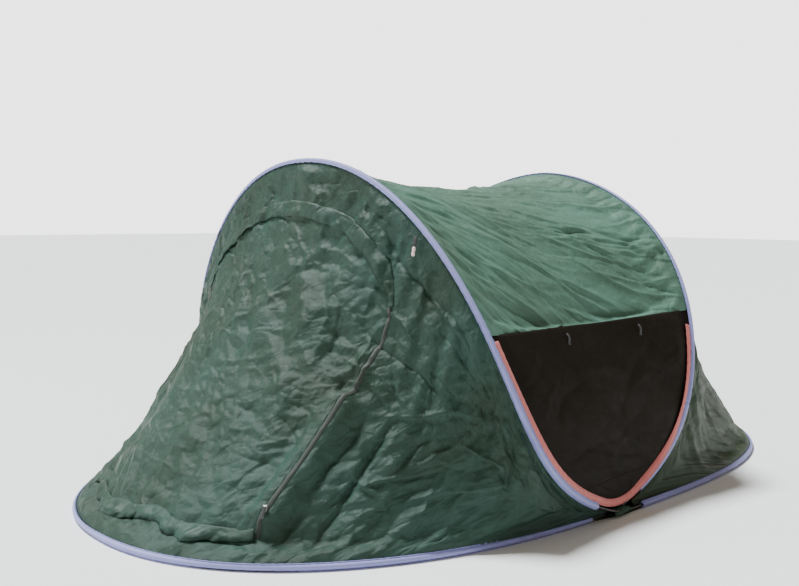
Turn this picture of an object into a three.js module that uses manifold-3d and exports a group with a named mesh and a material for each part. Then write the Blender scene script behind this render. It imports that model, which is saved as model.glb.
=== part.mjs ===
// Two-person pop-up tent. Millimetres, +Z up, ground at z = 0.
// Two sprung rings, closed by ferrules, cross at the two sides of the floor. The first ring is the front
// arch and the rear floor loop, the second is the rear arch and the front floor loop. Every ring runs in
// a folded tape sleeve, and the fabric panels are sewn between the sleeves. The door faces -Y.
import * as THREE from 'three';
import { mergeVertices } from 'three/addons/utils/BufferGeometryUtils.js';
import Module from 'manifold-3d';

const wasm = await Module();
wasm.setup();

// Driving dimensions
const width = 1500;
const frontLength = 1100;
const rearLength = 1290;
const archHeight = 933;
const ringHeight = 10;
const ringLane = 9;
const crossingY = (frontLength - rearLength) / 2;

const rodRadius = 3;
const ferruleRadius = 4.4;
const ferruleBore = 3.6;
const ferruleShare = 0.45;
const sleeveRadius = 6.5;
const sleeveBore = 5.4;

// Arc lengths from a crossing, along each hoop
const rodStart = 50;
const sleeveStart = 105;
const legMiddle = 175;
const kneeStart = 244;
const kneeEnd = 260;
const upperSteps = 14;
const seamStep = 5;

const fabric = 2.4;
const edgeGap = 12;
const bindingRadius = 3.2;
const bindingInset = 11.5;
const bindingLift = 18;
const bindingTrim = 12;
const sidePanelInset = 17;
const sidePanelTrim = 4;

const doorHalfWidth = 370;
const doorShoulderHalfWidth = 410;
const doorSill = 60;
const doorSpring = 520;
const doorTop = 800;
const zipWidth = 9;
const seamClearance = 0.5;

// Hoop shapes: half width at the crossing, roundness of the plan, bulge of the sides, then the reach of
// the top of the arch or the tip of the floor loop. An arch leans outward and flares near the ground.
const frontArch = {
  halfWidth: width / 2 + ringLane, widthPower: 0.932, bulge: 45,
  reach: archHeight, reachPower: 1.4, side: -1,
  lean: 0.13, flare: 352, flareHeight: 108,
};
const rearArch = {
  halfWidth: width / 2 - ringLane, widthPower: 1.137, bulge: 39,
  reach: archHeight, reachPower: 0.83, side: 1,
  lean: 0.343, flare: 300, flareHeight: 90,
};
const frontFloor = {
  halfWidth: width / 2 - ringLane, widthPower: 0.921, bulge: -19,
  reach: frontLength, reachPower: 0.861, side: -1,
};
const rearFloor = {
  halfWidth: width / 2 + ringLane, widthPower: 0.72, bulge: 43,
  reach: rearLength, reachPower: 0.727, side: 1,
};

// Materials
const sleeveTape = { color: 0xa9aedb, roughness: 0.75, metalness: 0 };
const greenCloth = { color: 0x4a5f50, roughness: 0.5, metalness: 0 };
const roofCloth = { color: 0x5f7a68, roughness: 0.5, metalness: 0 };
const darkCloth = { color: 0x28241d, roughness: 0.7, metalness: 0 };
const floorCloth = { color: 0x2f3a33, roughness: 0.6, metalness: 0 };
const pinkTape = { color: 0xd9908c, roughness: 0.75, metalness: 0 };
const blackWebbing = { color: 0x15151a, roughness: 0.85, metalness: 0 };
const blackRod = { color: 0x101012, roughness: 0.4, metalness: 0 };
const steel = { color: 0x9a9ca0, roughness: 0.3, metalness: 1 };
const toggleShell = { color: 0xe8c9c6, roughness: 0.4, metalness: 0 };

const tent = new THREE.Group();

function addPart(name, geometry, finish) {
  const mesh = new THREE.Mesh(geometry, new THREE.MeshStandardMaterial(finish));
  mesh.name = name;
  tent.add(mesh);
  return mesh;
}

// A hoop from its right crossing to its left one
class Hoop extends THREE.Curve {
  constructor(shape) {
    super();
    this.shape = shape;
    this.arcLengthDivisions = 3000;
  }

  getPoint(t, target = new THREE.Vector3()) {
    const { halfWidth, widthPower, bulge, reach, reachPower, side, lean, flare, flareHeight } = this.shape;
    const angle = Math.PI * t;
    const cosine = Math.cos(angle);
    const round = Math.sign(cosine) * Math.abs(cosine) ** widthPower;
    const x = halfWidth * round + bulge * Math.sin(2 * angle);
    const out = reach * Math.max(Math.sin(angle), 0) ** reachPower;
    if (lean === undefined) {
      return target.set(x, crossingY + side * out, ringHeight);
    }
    const outward = lean * out + flare * (1 - Math.exp(-out / flareHeight));
    return target.set(x, crossingY + side * outward, ringHeight + out);
  }
}

// Stations are the shared arc-length marks of the hoops, so that rods, sleeves and panels follow the
// same facets: rod start, sleeve start, leg middle, knee start, knee end, then even steps over the top.
const legMarks = [rodStart, sleeveStart, legMiddle, kneeStart, kneeEnd];
const kneeIndex = legMarks.length - 1;
const topIndex = kneeIndex + upperSteps;
const lastIndex = 2 * topIndex;
const sleeveIndex = 1;
const wallIndex = 2;
const seamIndex = kneeIndex + seamStep;

function hoopStations(shape) {
  const hoop = new Hoop(shape);
  const length = hoop.getLength();
  const upper = (length / 2 - kneeEnd) / upperSteps;
  const stations = [];
  for (let index = 0; index <= lastIndex; index += 1) {
    const near = Math.min(index, lastIndex - index);
    const arc = near <= kneeIndex ? legMarks[near] : kneeEnd + (near - kneeIndex) * upper;
    const share = (index <= topIndex ? arc : length - arc) / length;
    stations.push({
      point: hoop.getPointAt(share),
      tangent: hoop.getTangentAt(share),
    });
  }
  return stations;
}

const hoops = {
  frontArch: hoopStations(frontArch),
  rearArch: hoopStations(rearArch),
  frontFloor: hoopStations(frontFloor),
  rearFloor: hoopStations(rearFloor),
};

// A path through consecutive stations, for a tube of that many steps
class Stretch extends THREE.Curve {
  constructor(stations) {
    super();
    this.stations = stations;
  }

  between(t, field) {
    const place = t * (this.stations.length - 1);
    const index = Math.min(Math.floor(place + 1e-6), this.stations.length - 2);
    const share = place - index;
    return this.stations[index][field].clone().lerp(this.stations[index + 1][field], share);
  }

  getPoint(t) {
    return this.between(t, 'point');
  }

  getPointAt(t) {
    return this.between(t, 'point');
  }

  getTangentAt(t) {
    return this.between(t, 'tangent').normalize();
  }
}

function ringShape(radius, bore) {
  const shape = new THREE.Shape().absarc(0, 0, radius, 0, 2 * Math.PI);
  if (bore > 0) {
    shape.holes.push(new THREE.Path().absarc(0, 0, bore, 0, 2 * Math.PI, true));
  }
  return shape;
}

function tubeThrough(stations, radius, bore, sides) {
  return new THREE.ExtrudeGeometry(ringShape(radius, bore), {
    steps: stations.length - 1,
    curveSegments: sides / 2,
    extrudePath: new Stretch(stations),
  });
}

const sleeveSides = 8;
const rodSides = 6;

function addRod(name, hoop, from, to) {
  addPart(name, tubeThrough(hoops[hoop].slice(from, to + 1), rodRadius, 0, rodSides), blackRod);
}

function addSleeve(name, hoop, from, to) {
  const geometry = tubeThrough(hoops[hoop].slice(from, to + 1), sleeveRadius, sleeveBore, sleeveSides);
  addPart(name, geometry, sleeveTape);
}

// Pulls the last station back a little, so that two rod halves keep a gap at the top of an arch
function addArchRods(end) {
  const hoop = `${end}Arch`;
  const halves = { right: [kneeIndex, topIndex], left: [lastIndex - kneeIndex, topIndex] };
  for (const [side, [from, to]] of Object.entries(halves)) {
    const step = Math.sign(to - from);
    const stations = [];
    for (let index = from; index !== to + step; index += step) {
      const { point, tangent } = hoops[hoop][index];
      stations.push({ point: point.clone(), tangent: tangent.clone().multiplyScalar(step) });
    }
    const last = stations[stations.length - 1];
    last.point.addScaledVector(last.tangent, -seamClearance);
    addPart(`${end}_arch_rod_${side}`, tubeThrough(stations, rodRadius, 0, rodSides), blackRod);
  }
}

// The ferrule follows the facets of the rods it joins, half a step to each side of the top
function addFerrule(end) {
  const stations = hoops[`${end}Arch`];
  const top = stations[topIndex];
  const halfway = (index) => ({
    point: top.point.clone().lerp(stations[index].point, ferruleShare),
    tangent: top.tangent.clone().lerp(stations[index].tangent, ferruleShare),
  });
  const path = [halfway(topIndex - 1), top, halfway(topIndex + 1)];
  addPart(`${end}_ring_ferrule`, tubeThrough(path, ferruleRadius, ferruleBore, sleeveSides), steel);
}

// The rings, cut at the knees where their legs bend as the tent folds
for (const end of ['front', 'rear']) {
  const arch = `${end}Arch`;
  const floor = `${end}Floor`;
  addRod(`${end}_floor_rod`, floor, 0, lastIndex);
  addSleeve(`${end}_floor_sleeve`, floor, sleeveIndex, lastIndex - sleeveIndex);
  addArchRods(end);
  addSleeve(`${end}_arch_sleeve`, arch, kneeIndex, lastIndex - kneeIndex);
  addFerrule(end);
  const legs = { right: [0, kneeIndex - 1], left: [lastIndex - kneeIndex + 1, lastIndex] };
  for (const [side, [from, to]] of Object.entries(legs)) {
    addRod(`${end}_leg_rod_${side}`, arch, from, to);
    const sleeveFrom = side === 'right' ? from + sleeveIndex : from;
    const sleeveTo = side === 'right' ? to : to - sleeveIndex;
    addSleeve(`${end}_leg_sleeve_${side}`, arch, sleeveFrom, sleeveTo);
  }
}

// A closed sheet of cloth on a grid of points, columns first
function sheetSolid(grid, offset = 0) {
  const columns = grid.length;
  const rows = grid[0].length;
  const normals = grid.map((column, i) => column.map((point, j) => {
    const along = grid[Math.min(i + 1, columns - 1)][j].clone().sub(grid[Math.max(i - 1, 0)][j]);
    const up = column[Math.min(j + 1, rows - 1)].clone().sub(column[Math.max(j - 1, 0)]);
    return up.cross(along).normalize();
  }));
  const positions = [];
  for (const level of [offset + fabric / 2, offset - fabric / 2]) {
    grid.forEach((column, i) => column.forEach((point, j) => {
      positions.push(...point.clone().addScaledVector(normals[i][j], level));
    }));
  }
  const at = (side, i, j) => side * columns * rows + i * rows + j;
  const triangles = [];
  const quad = (a, b, c, d) => triangles.push(a, b, c, a, c, d);
  for (let i = 0; i < columns - 1; i += 1) {
    for (let j = 0; j < rows - 1; j += 1) {
      quad(at(0, i, j), at(0, i, j + 1), at(0, i + 1, j + 1), at(0, i + 1, j));
      quad(at(1, i, j), at(1, i + 1, j), at(1, i + 1, j + 1), at(1, i, j + 1));
    }
    quad(at(0, i, 0), at(0, i + 1, 0), at(1, i + 1, 0), at(1, i, 0));
    quad(at(1, i, rows - 1), at(1, i + 1, rows - 1), at(0, i + 1, rows - 1), at(0, i, rows - 1));
  }
  for (let j = 0; j < rows - 1; j += 1) {
    quad(at(0, 0, j), at(1, 0, j), at(1, 0, j + 1), at(0, 0, j + 1));
    quad(at(1, columns - 1, j), at(0, columns - 1, j), at(0, columns - 1, j + 1), at(1, columns - 1, j + 1));
  }
  const geometry = new THREE.BufferGeometry();
  geometry.setAttribute('position', new THREE.Float32BufferAttribute(positions, 3));
  geometry.setIndex(triangles);
  return geometry;
}

// A point beside a hoop, moved square to it towards the other hoop of its panel
function besideHoop(hoop, other, index, inset) {
  const { point, tangent } = hoops[hoop][index];
  const towards = hoops[other][index].point.clone().sub(point);
  towards.addScaledVector(tangent, -towards.dot(tangent)).setLength(inset);
  return towards.add(point);
}

// Points of a panel sewn between two hoops; it dips by sag towards the middle of the cabin
const cabinMiddle = new THREE.Vector3(0, crossingY, 300);

function panelGrid(lower, upper, from, to, rows, inset, sag) {
  const grid = [];
  for (let index = from; index <= to; index += 1) {
    const start = besideHoop(lower, upper, index, inset);
    const end = besideHoop(upper, lower, index, inset);
    const dip = sag * Math.min(1, start.distanceTo(end) / archHeight);
    const column = [];
    for (let row = 0; row <= rows; row += 1) {
      const share = row / rows;
      const point = start.clone().lerp(end, share);
      const inward = cabinMiddle.clone().sub(point).normalize();
      point.addScaledVector(inward, dip * Math.sin(Math.PI * share));
      column.push(point);
    }
    grid.push(column);
  }
  return grid;
}

const panelRows = 6;
const frontSag = 60;
const rearSag = 42;
const roofSag = 50;
const sideSag = 22;

const wallEnd = lastIndex - wallIndex;
const rearWall = panelGrid('rearFloor', 'rearArch', wallIndex, wallEnd, panelRows, edgeGap, rearSag);
addPart('rear_wall', sheetSolid(rearWall), greenCloth);

const roofEnd = lastIndex - seamIndex;
const roof = panelGrid('frontArch', 'rearArch', seamIndex, roofEnd, panelRows, edgeGap, roofSag);
addPart('roof_panel', sheetSolid(roof), roofCloth);

// The dark side panels stop a little below the roof's seam and inside their tape binding
function trimmedTop(grid, last, clearance) {
  const rim = grid[last];
  const next = grid[last === 0 ? 1 : last - 1];
  rim.forEach((point, row) => point.add(next[row].clone().sub(point).setLength(clearance)));
  return grid;
}

const sides = {
  right: { from: sleeveIndex, to: seamIndex },
  left: { from: lastIndex - seamIndex, to: lastIndex - sleeveIndex },
};
for (const [side, { from, to }] of Object.entries(sides)) {
  const grid = panelGrid('frontArch', 'rearArch', from, to, panelRows, sidePanelInset, sideSag);
  const rim = side === 'right' ? grid.length - 1 : 0;
  addPart(`side_panel_${side}`, sheetSolid(trimmedTop(grid, rim, sidePanelTrim)), darkCloth);
}

// The binding runs down beside the front arch, under the panel and up beside the rear arch
function bindingStations(side) {
  const pick = (index) => (side === 'right' ? index : lastIndex - index);
  const points = [];
  for (let index = seamIndex; index >= sleeveIndex; index -= 1) {
    points.push(besideHoop('frontArch', 'rearArch', pick(index), bindingInset));
  }
  const bottom = hoops.frontArch[pick(0)].point.clone().lerp(hoops.rearArch[pick(0)].point, 0.5);
  bottom.z += bindingLift;
  points.push(bottom);
  for (let index = sleeveIndex; index <= seamIndex; index += 1) {
    points.push(besideHoop('rearArch', 'frontArch', pick(index), bindingInset));
  }
  for (const [end, next] of [[0, 1], [points.length - 1, points.length - 2]]) {
    points[end].add(points[next].clone().sub(points[end]).setLength(bindingTrim));
  }
  return points.map((point, index) => {
    const before = points[Math.max(index - 1, 0)];
    const after = points[Math.min(index + 1, points.length - 1)];
    return { point, tangent: after.clone().sub(before).normalize() };
  });
}

for (const side of ['right', 'left']) {
  addPart(`side_binding_${side}`, tubeThrough(bindingStations(side), bindingRadius, 0, rodSides), pinkTape);
}

// Groundsheet halves under the floor loops. Their seam runs a little in front of the crossings, so that
// the front half lifts clear of the rear half as the tent folds.
const groundSeamLead = 90;
const groundSeamGap = 6;
const groundSeamY = crossingY - groundSeamLead;

// Half the width of the front floor loop where it passes a given y
function frontHalfWidth(y) {
  const stations = hoops.frontFloor;
  const next = stations.findIndex(({ point }) => point.y < y);
  const before = stations[next - 1].point;
  const after = stations[next].point;
  return before.clone().lerp(after, (before.y - y) / (before.y - after.y)).x;
}

function groundHalf(name, outline) {
  const shape = new THREE.Shape(outline.map(([x, y]) => new THREE.Vector2(x, y)));
  addPart(name, new THREE.ExtrudeGeometry(shape, { depth: fabric, bevelEnabled: false }), floorCloth);
}

const frontSeamY = groundSeamY - groundSeamGap / 2;
const frontLoop = hoops.frontFloor.map(({ point }) => [point.x, point.y]).filter(([, y]) => y < frontSeamY);
const frontSeamX = frontHalfWidth(frontSeamY);
groundHalf('groundsheet_front', [[frontSeamX, frontSeamY], ...frontLoop, [-frontSeamX, frontSeamY]]);

const rearSeamY = groundSeamY + groundSeamGap / 2;
const rearLoop = hoops.rearFloor.map(({ point }) => [point.x, point.y]);
const rearSeamX = frontHalfWidth(rearSeamY);
groundHalf('groundsheet_rear', [[rearSeamX, rearSeamY], ...rearLoop, [-rearSeamX, rearSeamY]]);

// Crossing of the rings: a cloth tab wrapped round the rods
const tabLength = 76;
const tabWidth = 38;
const tabHeight = 18;
const tabLift = 2;
for (const [side, direction] of [['right', 1], ['left', -1]]) {
  const shape = new THREE.Shape();
  const flat = (tabWidth - tabHeight) / 2;
  shape.absarc(flat, 0, tabHeight / 2, -Math.PI / 2, Math.PI / 2);
  shape.absarc(-flat, 0, tabHeight / 2, Math.PI / 2, 3 * Math.PI / 2);
  const tab = new THREE.ExtrudeGeometry(shape, { depth: tabLength, bevelEnabled: false, curveSegments: 5 });
  tab.translate(0, 0, -tabLength / 2);
  tab.rotateX(Math.PI / 2);
  tab.translate(direction * width / 2, crossingY, ringHeight + tabLift);
  addPart(`crossing_tab_${side}`, tab, greenCloth);
}

// Front wall and door, cut from one sheet. A doorway outline grown by outset, in the XZ plane.
const frontWall = panelGrid('frontFloor', 'frontArch', wallIndex, wallEnd, panelRows, edgeGap, frontSag);

function doorwayShape(outset) {
  const shape = new THREE.Shape();
  const foot = doorHalfWidth + outset;
  const shoulder = doorShoulderHalfWidth + outset;
  shape.moveTo(-foot, doorSill - outset);
  shape.lineTo(foot, doorSill - outset);
  shape.lineTo(shoulder, doorSpring);
  shape.absellipse(0, doorSpring, shoulder, doorTop - doorSpring + outset, 0, Math.PI);
  shape.closePath();
  return shape;
}

// A prism of an XZ outline, through the front half of the tent
const prismStart = 100;
function doorwayPrism(shape) {
  const settings = { depth: frontLength, bevelEnabled: false, curveSegments: 10 };
  const geometry = new THREE.ExtrudeGeometry(shape, settings);
  geometry.rotateX(Math.PI / 2);
  geometry.translate(0, crossingY - prismStart, 0);
  return geometry;
}

function toManifold(geometry) {
  const plain = geometry.clone();
  plain.deleteAttribute('normal');
  plain.deleteAttribute('uv');
  const merged = mergeVertices(plain, 1e-3);
  return new wasm.Manifold(new wasm.Mesh({
    numProp: 3,
    vertProperties: new Float32Array(merged.attributes.position.array),
    triVerts: new Uint32Array(merged.index.array),
  }));
}

function fromManifold(solid) {
  const mesh = solid.getMesh();
  const geometry = new THREE.BufferGeometry();
  geometry.setAttribute('position', new THREE.BufferAttribute(mesh.vertProperties, 3));
  geometry.setIndex(new THREE.BufferAttribute(mesh.triVerts, 1));
  return geometry;
}

const wallSheet = toManifold(sheetSolid(frontWall));
const doorway = (outset) => toManifold(doorwayPrism(doorwayShape(outset)));
const zipOuter = zipWidth + seamClearance;
addPart('front_wall', fromManifold(wallSheet.subtract(doorway(zipOuter + seamClearance))), greenCloth);
addPart('door_panel', fromManifold(wallSheet.intersect(doorway(0))), greenCloth);
const zipBand = wallSheet.intersect(doorway(zipOuter).subtract(doorway(seamClearance)));
addPart('door_zip_tape', fromManifold(zipBand), darkCloth);

// Storm flap over the zip, across the top and shoulders of the door
const flapOutset = 26;
const flapInset = -14;
const flapBelowSpring = 60;
const flapBottom = doorSpring - flapBelowSpring;
const flapOffset = 4.5;
const flapSheet = toManifold(sheetSolid(frontWall, flapOffset));
const aboveFlapBottom = new THREE.BoxGeometry(2 * width, 4 * frontLength, 2 * archHeight);
aboveFlapBottom.translate(0, 0, flapBottom + archHeight);
const flapBand = doorway(flapOutset).subtract(doorway(flapInset)).intersect(toManifold(aboveFlapBottom));
addPart('door_storm_flap', fromManifold(flapSheet.intersect(flapBand)), greenCloth);

// Finds the outer face of a sheet along a ray, and a frame there: out of the cloth, up it and across it
function clothFrame(grid, origin, direction) {
  const sheet = new THREE.Mesh(sheetSolid(grid), new THREE.MeshBasicMaterial({ side: THREE.DoubleSide }));
  const hit = new THREE.Raycaster(origin, direction).intersectObject(sheet)[0];
  const out = hit.face.normal.clone();
  const up = new THREE.Vector3(0, 0, 1).addScaledVector(out, -out.z).normalize();
  const across = up.clone().cross(out);
  return { point: hit.point, out, up, across };
}

function intoFrame(geometry, frame, across, up, out) {
  geometry.applyMatrix4(new THREE.Matrix4().makeBasis(frame.across, frame.up, frame.out));
  const place = frame.point.clone();
  place.addScaledVector(frame.across, across).addScaledVector(frame.up, up).addScaledVector(frame.out, out);
  geometry.translate(place.x, place.y, place.z);
  return geometry;
}

function roundedTab({ across, up, thickness, corner }) {
  const shape = new THREE.Shape();
  const x = across / 2 - corner;
  const y = up / 2 - corner;
  shape.absarc(x, y, corner, 0, Math.PI / 2);
  shape.absarc(-x, y, corner, Math.PI / 2, Math.PI);
  shape.absarc(-x, -y, corner, Math.PI, 3 * Math.PI / 2);
  shape.absarc(x, -y, corner, 3 * Math.PI / 2, 2 * Math.PI);
  const settings = { depth: thickness, bevelEnabled: false, curveSegments: 3 };
  const geometry = new THREE.ExtrudeGeometry(shape, settings);
  geometry.translate(0, 0, -thickness / 2);
  return geometry;
}

// Zip slider and its pull, parked near the foot of the door's free edge
const fromFront = new THREE.Vector3(0, 1, 0);
const farAway = 2000;
const sliderHeight = doorSill + 60;
const slider = { across: 11, up: 16, thickness: 6, corner: 3, lift: 3 };
const pull = { across: 8, up: 30, thickness: 2, corner: 3, lift: 0.8, overlap: 4 };
const zipEdgeX = doorHalfWidth + zipWidth / 2
  + (doorShoulderHalfWidth - doorHalfWidth) * (sliderHeight - doorSill) / (doorSpring - doorSill);
const sliderFrame = clothFrame(frontWall, new THREE.Vector3(zipEdgeX, -farAway, sliderHeight), fromFront);
const sliderOut = slider.lift + slider.thickness / 2;
addPart('zip_slider', intoFrame(roundedTab(slider), sliderFrame, 0, 0, sliderOut), steel);
const pullOut = sliderOut + slider.thickness / 2 + pull.lift + pull.thickness / 2;
const pullUp = pull.overlap - pull.up / 2;
addPart('zip_pull', intoFrame(roundedTab(pull), sliderFrame, 0, pullUp, pullOut), blackWebbing);

// Tie-backs for the rolled door: a loop each side beside the front arch, with a toggle on the right
const tieX = 446;
const tieHeight = 727;
const tieLoop = { across: 12, up: 26, thickness: 3, corner: 2, out: 3.5 };
const toggle = { across: 10, up: 24, thickness: 7, corner: 3.4, out: 7, below: 28 };
for (const [side, direction] of [['right', 1], ['left', -1]]) {
  const origin = new THREE.Vector3(direction * tieX, -farAway, tieHeight);
  const frame = clothFrame(frontWall, origin, fromFront);
  addPart(`tieback_loop_${side}`, intoFrame(roundedTab(tieLoop), frame, 0, 0, tieLoop.out), blackWebbing);
  if (side === 'right') {
    const geometry = intoFrame(roundedTab(toggle), frame, 0, -toggle.below, toggle.out);
    addPart('tieback_toggle', geometry, toggleShell);
  }
}

// Webbing ties for the rolled side covers, hanging under the roof seam
const coverTies = { front: 0.34, rear: 0.72 };
const coverTie = { across: 8, up: 30, thickness: 4, corner: 1.9, out: 4.5 };
const coverTieDrop = 32;
const coverTieHeight = hoops.frontArch[seamIndex].point.z - coverTieDrop;
for (const [side, direction] of [['right', 1], ['left', -1]]) {
  const index = side === 'right' ? seamIndex - 1 : lastIndex - seamIndex + 1;
  const { from, to } = sides[side];
  const grid = panelGrid('frontArch', 'rearArch', from, to, panelRows, sidePanelInset, sideSag);
  const inward = new THREE.Vector3(-direction, 0, 0);
  for (const [end, share] of Object.entries(coverTies)) {
    const { y } = hoops.frontArch[index].point.clone().lerp(hoops.rearArch[index].point, share);
    const frame = clothFrame(grid, new THREE.Vector3(direction * farAway, y, coverTieHeight), inward);
    const geometry = intoFrame(roundedTab(coverTie), frame, 0, 0, coverTie.out);
    addPart(`cover_tie_${end}_${side}`, geometry, blackWebbing);
  }
}

export default tent;
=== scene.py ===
"""Two-person pop-up tent: the looks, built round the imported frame. Metres, +Z up, the door faces -Y."""

import math

import bmesh
import bpy
import numpy as np
from mathutils import Matrix, Vector
from mathutils.bvhtree import BVHTree


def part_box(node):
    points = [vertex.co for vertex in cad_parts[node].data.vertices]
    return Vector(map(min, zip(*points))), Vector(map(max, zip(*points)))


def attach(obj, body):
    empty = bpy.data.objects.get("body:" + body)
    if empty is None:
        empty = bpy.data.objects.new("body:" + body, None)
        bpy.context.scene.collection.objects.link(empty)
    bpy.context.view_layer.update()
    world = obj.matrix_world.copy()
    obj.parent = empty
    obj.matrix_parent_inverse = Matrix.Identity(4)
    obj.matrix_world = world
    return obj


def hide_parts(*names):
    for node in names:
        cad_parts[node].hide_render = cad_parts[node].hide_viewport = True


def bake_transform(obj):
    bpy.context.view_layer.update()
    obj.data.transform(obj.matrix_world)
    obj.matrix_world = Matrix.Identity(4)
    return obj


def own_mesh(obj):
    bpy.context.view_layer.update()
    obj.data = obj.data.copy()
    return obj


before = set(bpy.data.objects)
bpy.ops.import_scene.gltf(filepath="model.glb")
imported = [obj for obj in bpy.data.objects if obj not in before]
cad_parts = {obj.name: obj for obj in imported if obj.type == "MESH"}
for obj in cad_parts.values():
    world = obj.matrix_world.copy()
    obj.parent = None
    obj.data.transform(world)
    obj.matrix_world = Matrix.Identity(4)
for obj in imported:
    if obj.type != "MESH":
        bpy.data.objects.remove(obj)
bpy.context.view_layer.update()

# ---------------------------------------------------------------- camera, floor and light

CAMERA_PLACE = Vector((2.052, -2.139, 0.792))
CAMERA_YAW = 0.812
CAMERA_PITCH = -0.086
CAMERA_ROLL = 0.007
CAMERA_LENS = 40.79
SENSOR_WIDTH = 36.0


def make_camera():
    """The main view: yaw from +Y towards -X, pitch above the horizon, then roll."""
    forward = Vector((
        -math.sin(CAMERA_YAW) * math.cos(CAMERA_PITCH),
        math.cos(CAMERA_YAW) * math.cos(CAMERA_PITCH),
        math.sin(CAMERA_PITCH),
    ))
    level_right = Vector((math.cos(CAMERA_YAW), math.sin(CAMERA_YAW), 0))
    level_up = level_right.cross(forward)
    right = math.cos(CAMERA_ROLL) * level_right + math.sin(CAMERA_ROLL) * level_up
    up = math.cos(CAMERA_ROLL) * level_up - math.sin(CAMERA_ROLL) * level_right
    turn = Matrix((right, up, -forward)).transposed()
    data = bpy.data.cameras.new("camera")
    data.lens = CAMERA_LENS
    data.sensor_width = SENSOR_WIDTH
    data.dof.use_dof = False
    camera = bpy.data.objects.new("camera", data)
    camera.matrix_world = Matrix.Translation(CAMERA_PLACE) @ turn.to_4x4()
    bpy.context.scene.collection.objects.link(camera)
    bpy.context.scene.camera = camera


def add_light(name, place, target, size, power):
    """A round area lamp aimed at a target."""
    data = bpy.data.lights.new(name, "AREA")
    data.shape = "DISK"
    data.size = size
    data.energy = power
    light = bpy.data.objects.new(name, data)
    light.location = place
    light.rotation_euler = (Vector(target) - Vector(place)).to_track_quat("-Z", "Y").to_euler()
    bpy.context.scene.collection.objects.link(light)


WHITE = (1, 1, 1, 1)
FLOOR_SIZE = 60
FLOOR_COLOUR = (0.92, 0.92, 0.92, 1)
FILL_COLOUR = (1.0, 0.90, 0.76, 1)
FILL_LEVEL = 0.30
GLOSS_LEVEL = 0.60
SURROUND_LEVEL = 3.2
SUN_ENERGY = 7.2
SUN_ANGLE = math.radians(13)
SUN_COLOUR = (0.93, 1.0, 1.0)
SUN_DIRECTION = Vector((0.42, 0.10, -1.0))
LAMP_PLACE = (-2.4, -4.2, 1.4)
LAMP_TARGET = (0, -0.7, 0.4)
LAMP_SIZE = 0.9
LAMP_POWER = 70


def make_studio():
    """A pale floor, a pale surround and soft lamps: warm in the shadows, cooler from above."""
    bpy.ops.mesh.primitive_plane_add(size=FLOOR_SIZE)
    floor = bpy.context.object
    floor.name = "studio_floor"
    material = bpy.data.materials.new("studio_floor")
    material.use_nodes = True
    shader = material.node_tree.nodes["Principled BSDF"]
    shader.inputs["Base Color"].default_value = FLOOR_COLOUR
    shader.inputs["Roughness"].default_value = 0.9
    floor.data.materials.append(material)
    world = bpy.data.worlds.new("studio")
    world.use_nodes = True
    tree = world.node_tree
    backdrop = tree.nodes["Background"]
    ray = tree.nodes.new("ShaderNodeLightPath")
    colour = tree.nodes.new("ShaderNodeMix")
    colour.data_type = "RGBA"
    colour.inputs[6].default_value = FILL_COLOUR
    colour.inputs[7].default_value = WHITE
    tree.links.new(ray.outputs["Is Camera Ray"], colour.inputs[0])
    tree.links.new(colour.outputs[2], backdrop.inputs["Color"])
    strength = None
    for output, level in (("Is Glossy Ray", GLOSS_LEVEL), ("Is Camera Ray", SURROUND_LEVEL)):
        blend = tree.nodes.new("ShaderNodeMix")
        blend.inputs[2].default_value = FILL_LEVEL
        blend.inputs[3].default_value = level
        tree.links.new(ray.outputs[output], blend.inputs[0])
        if strength is not None:
            tree.links.new(strength, blend.inputs[2])
        strength = blend.outputs[0]
    tree.links.new(strength, backdrop.inputs["Strength"])
    bpy.context.scene.world = world
    sun = bpy.data.lights.new("lamp_above", "SUN")
    sun.energy = SUN_ENERGY
    sun.angle = SUN_ANGLE
    sun.color = SUN_COLOUR
    lamp = bpy.data.objects.new("lamp_above", sun)
    lamp.rotation_euler = SUN_DIRECTION.to_track_quat("-Z", "Y").to_euler()
    bpy.context.scene.collection.objects.link(lamp)
    add_light("lamp_left", LAMP_PLACE, LAMP_TARGET, LAMP_SIZE, LAMP_POWER)


make_camera()
make_studio()

# ---------------------------------------------------------------- hoops

TAB_LOW, TAB_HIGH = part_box("crossing_tab_right")
CROSSING_Y = (TAB_LOW.y + TAB_HIGH.y) / 2
RING_HEIGHT = 0.010
KNEE_ARC = 0.26
LEG_SHARE = 0.20
SEAM_SHARE = LEG_SHARE + (1 - LEG_SHARE) * 5 / 14
ROD_RADIUS = 0.003

# The same hoop shapes as the frame's: half width at the crossing, roundness of the plan, bulge of the
# sides, reach of the arch's top or the floor loop's tip; an arch leans outward and flares near the ground
HOOP_SHAPES = {
    "front_arch": {
        "half_width": 0.759, "width_power": 0.932, "bulge": 0.045, "reach": 0.933, "reach_power": 1.4,
        "side": -1, "lean": 0.13, "flare": 0.352, "flare_height": 0.108,
    },
    "rear_arch": {
        "half_width": 0.741, "width_power": 1.137, "bulge": 0.039, "reach": 0.933, "reach_power": 0.83,
        "side": 1, "lean": 0.343, "flare": 0.300, "flare_height": 0.090,
    },
    "front_floor": {
        "half_width": 0.741, "width_power": 0.921, "bulge": -0.019, "reach": 1.100, "reach_power": 0.861,
        "side": -1,
    },
    "rear_floor": {
        "half_width": 0.759, "width_power": 0.720, "bulge": 0.043, "reach": 1.290, "reach_power": 0.727,
        "side": 1,
    },
}


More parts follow.
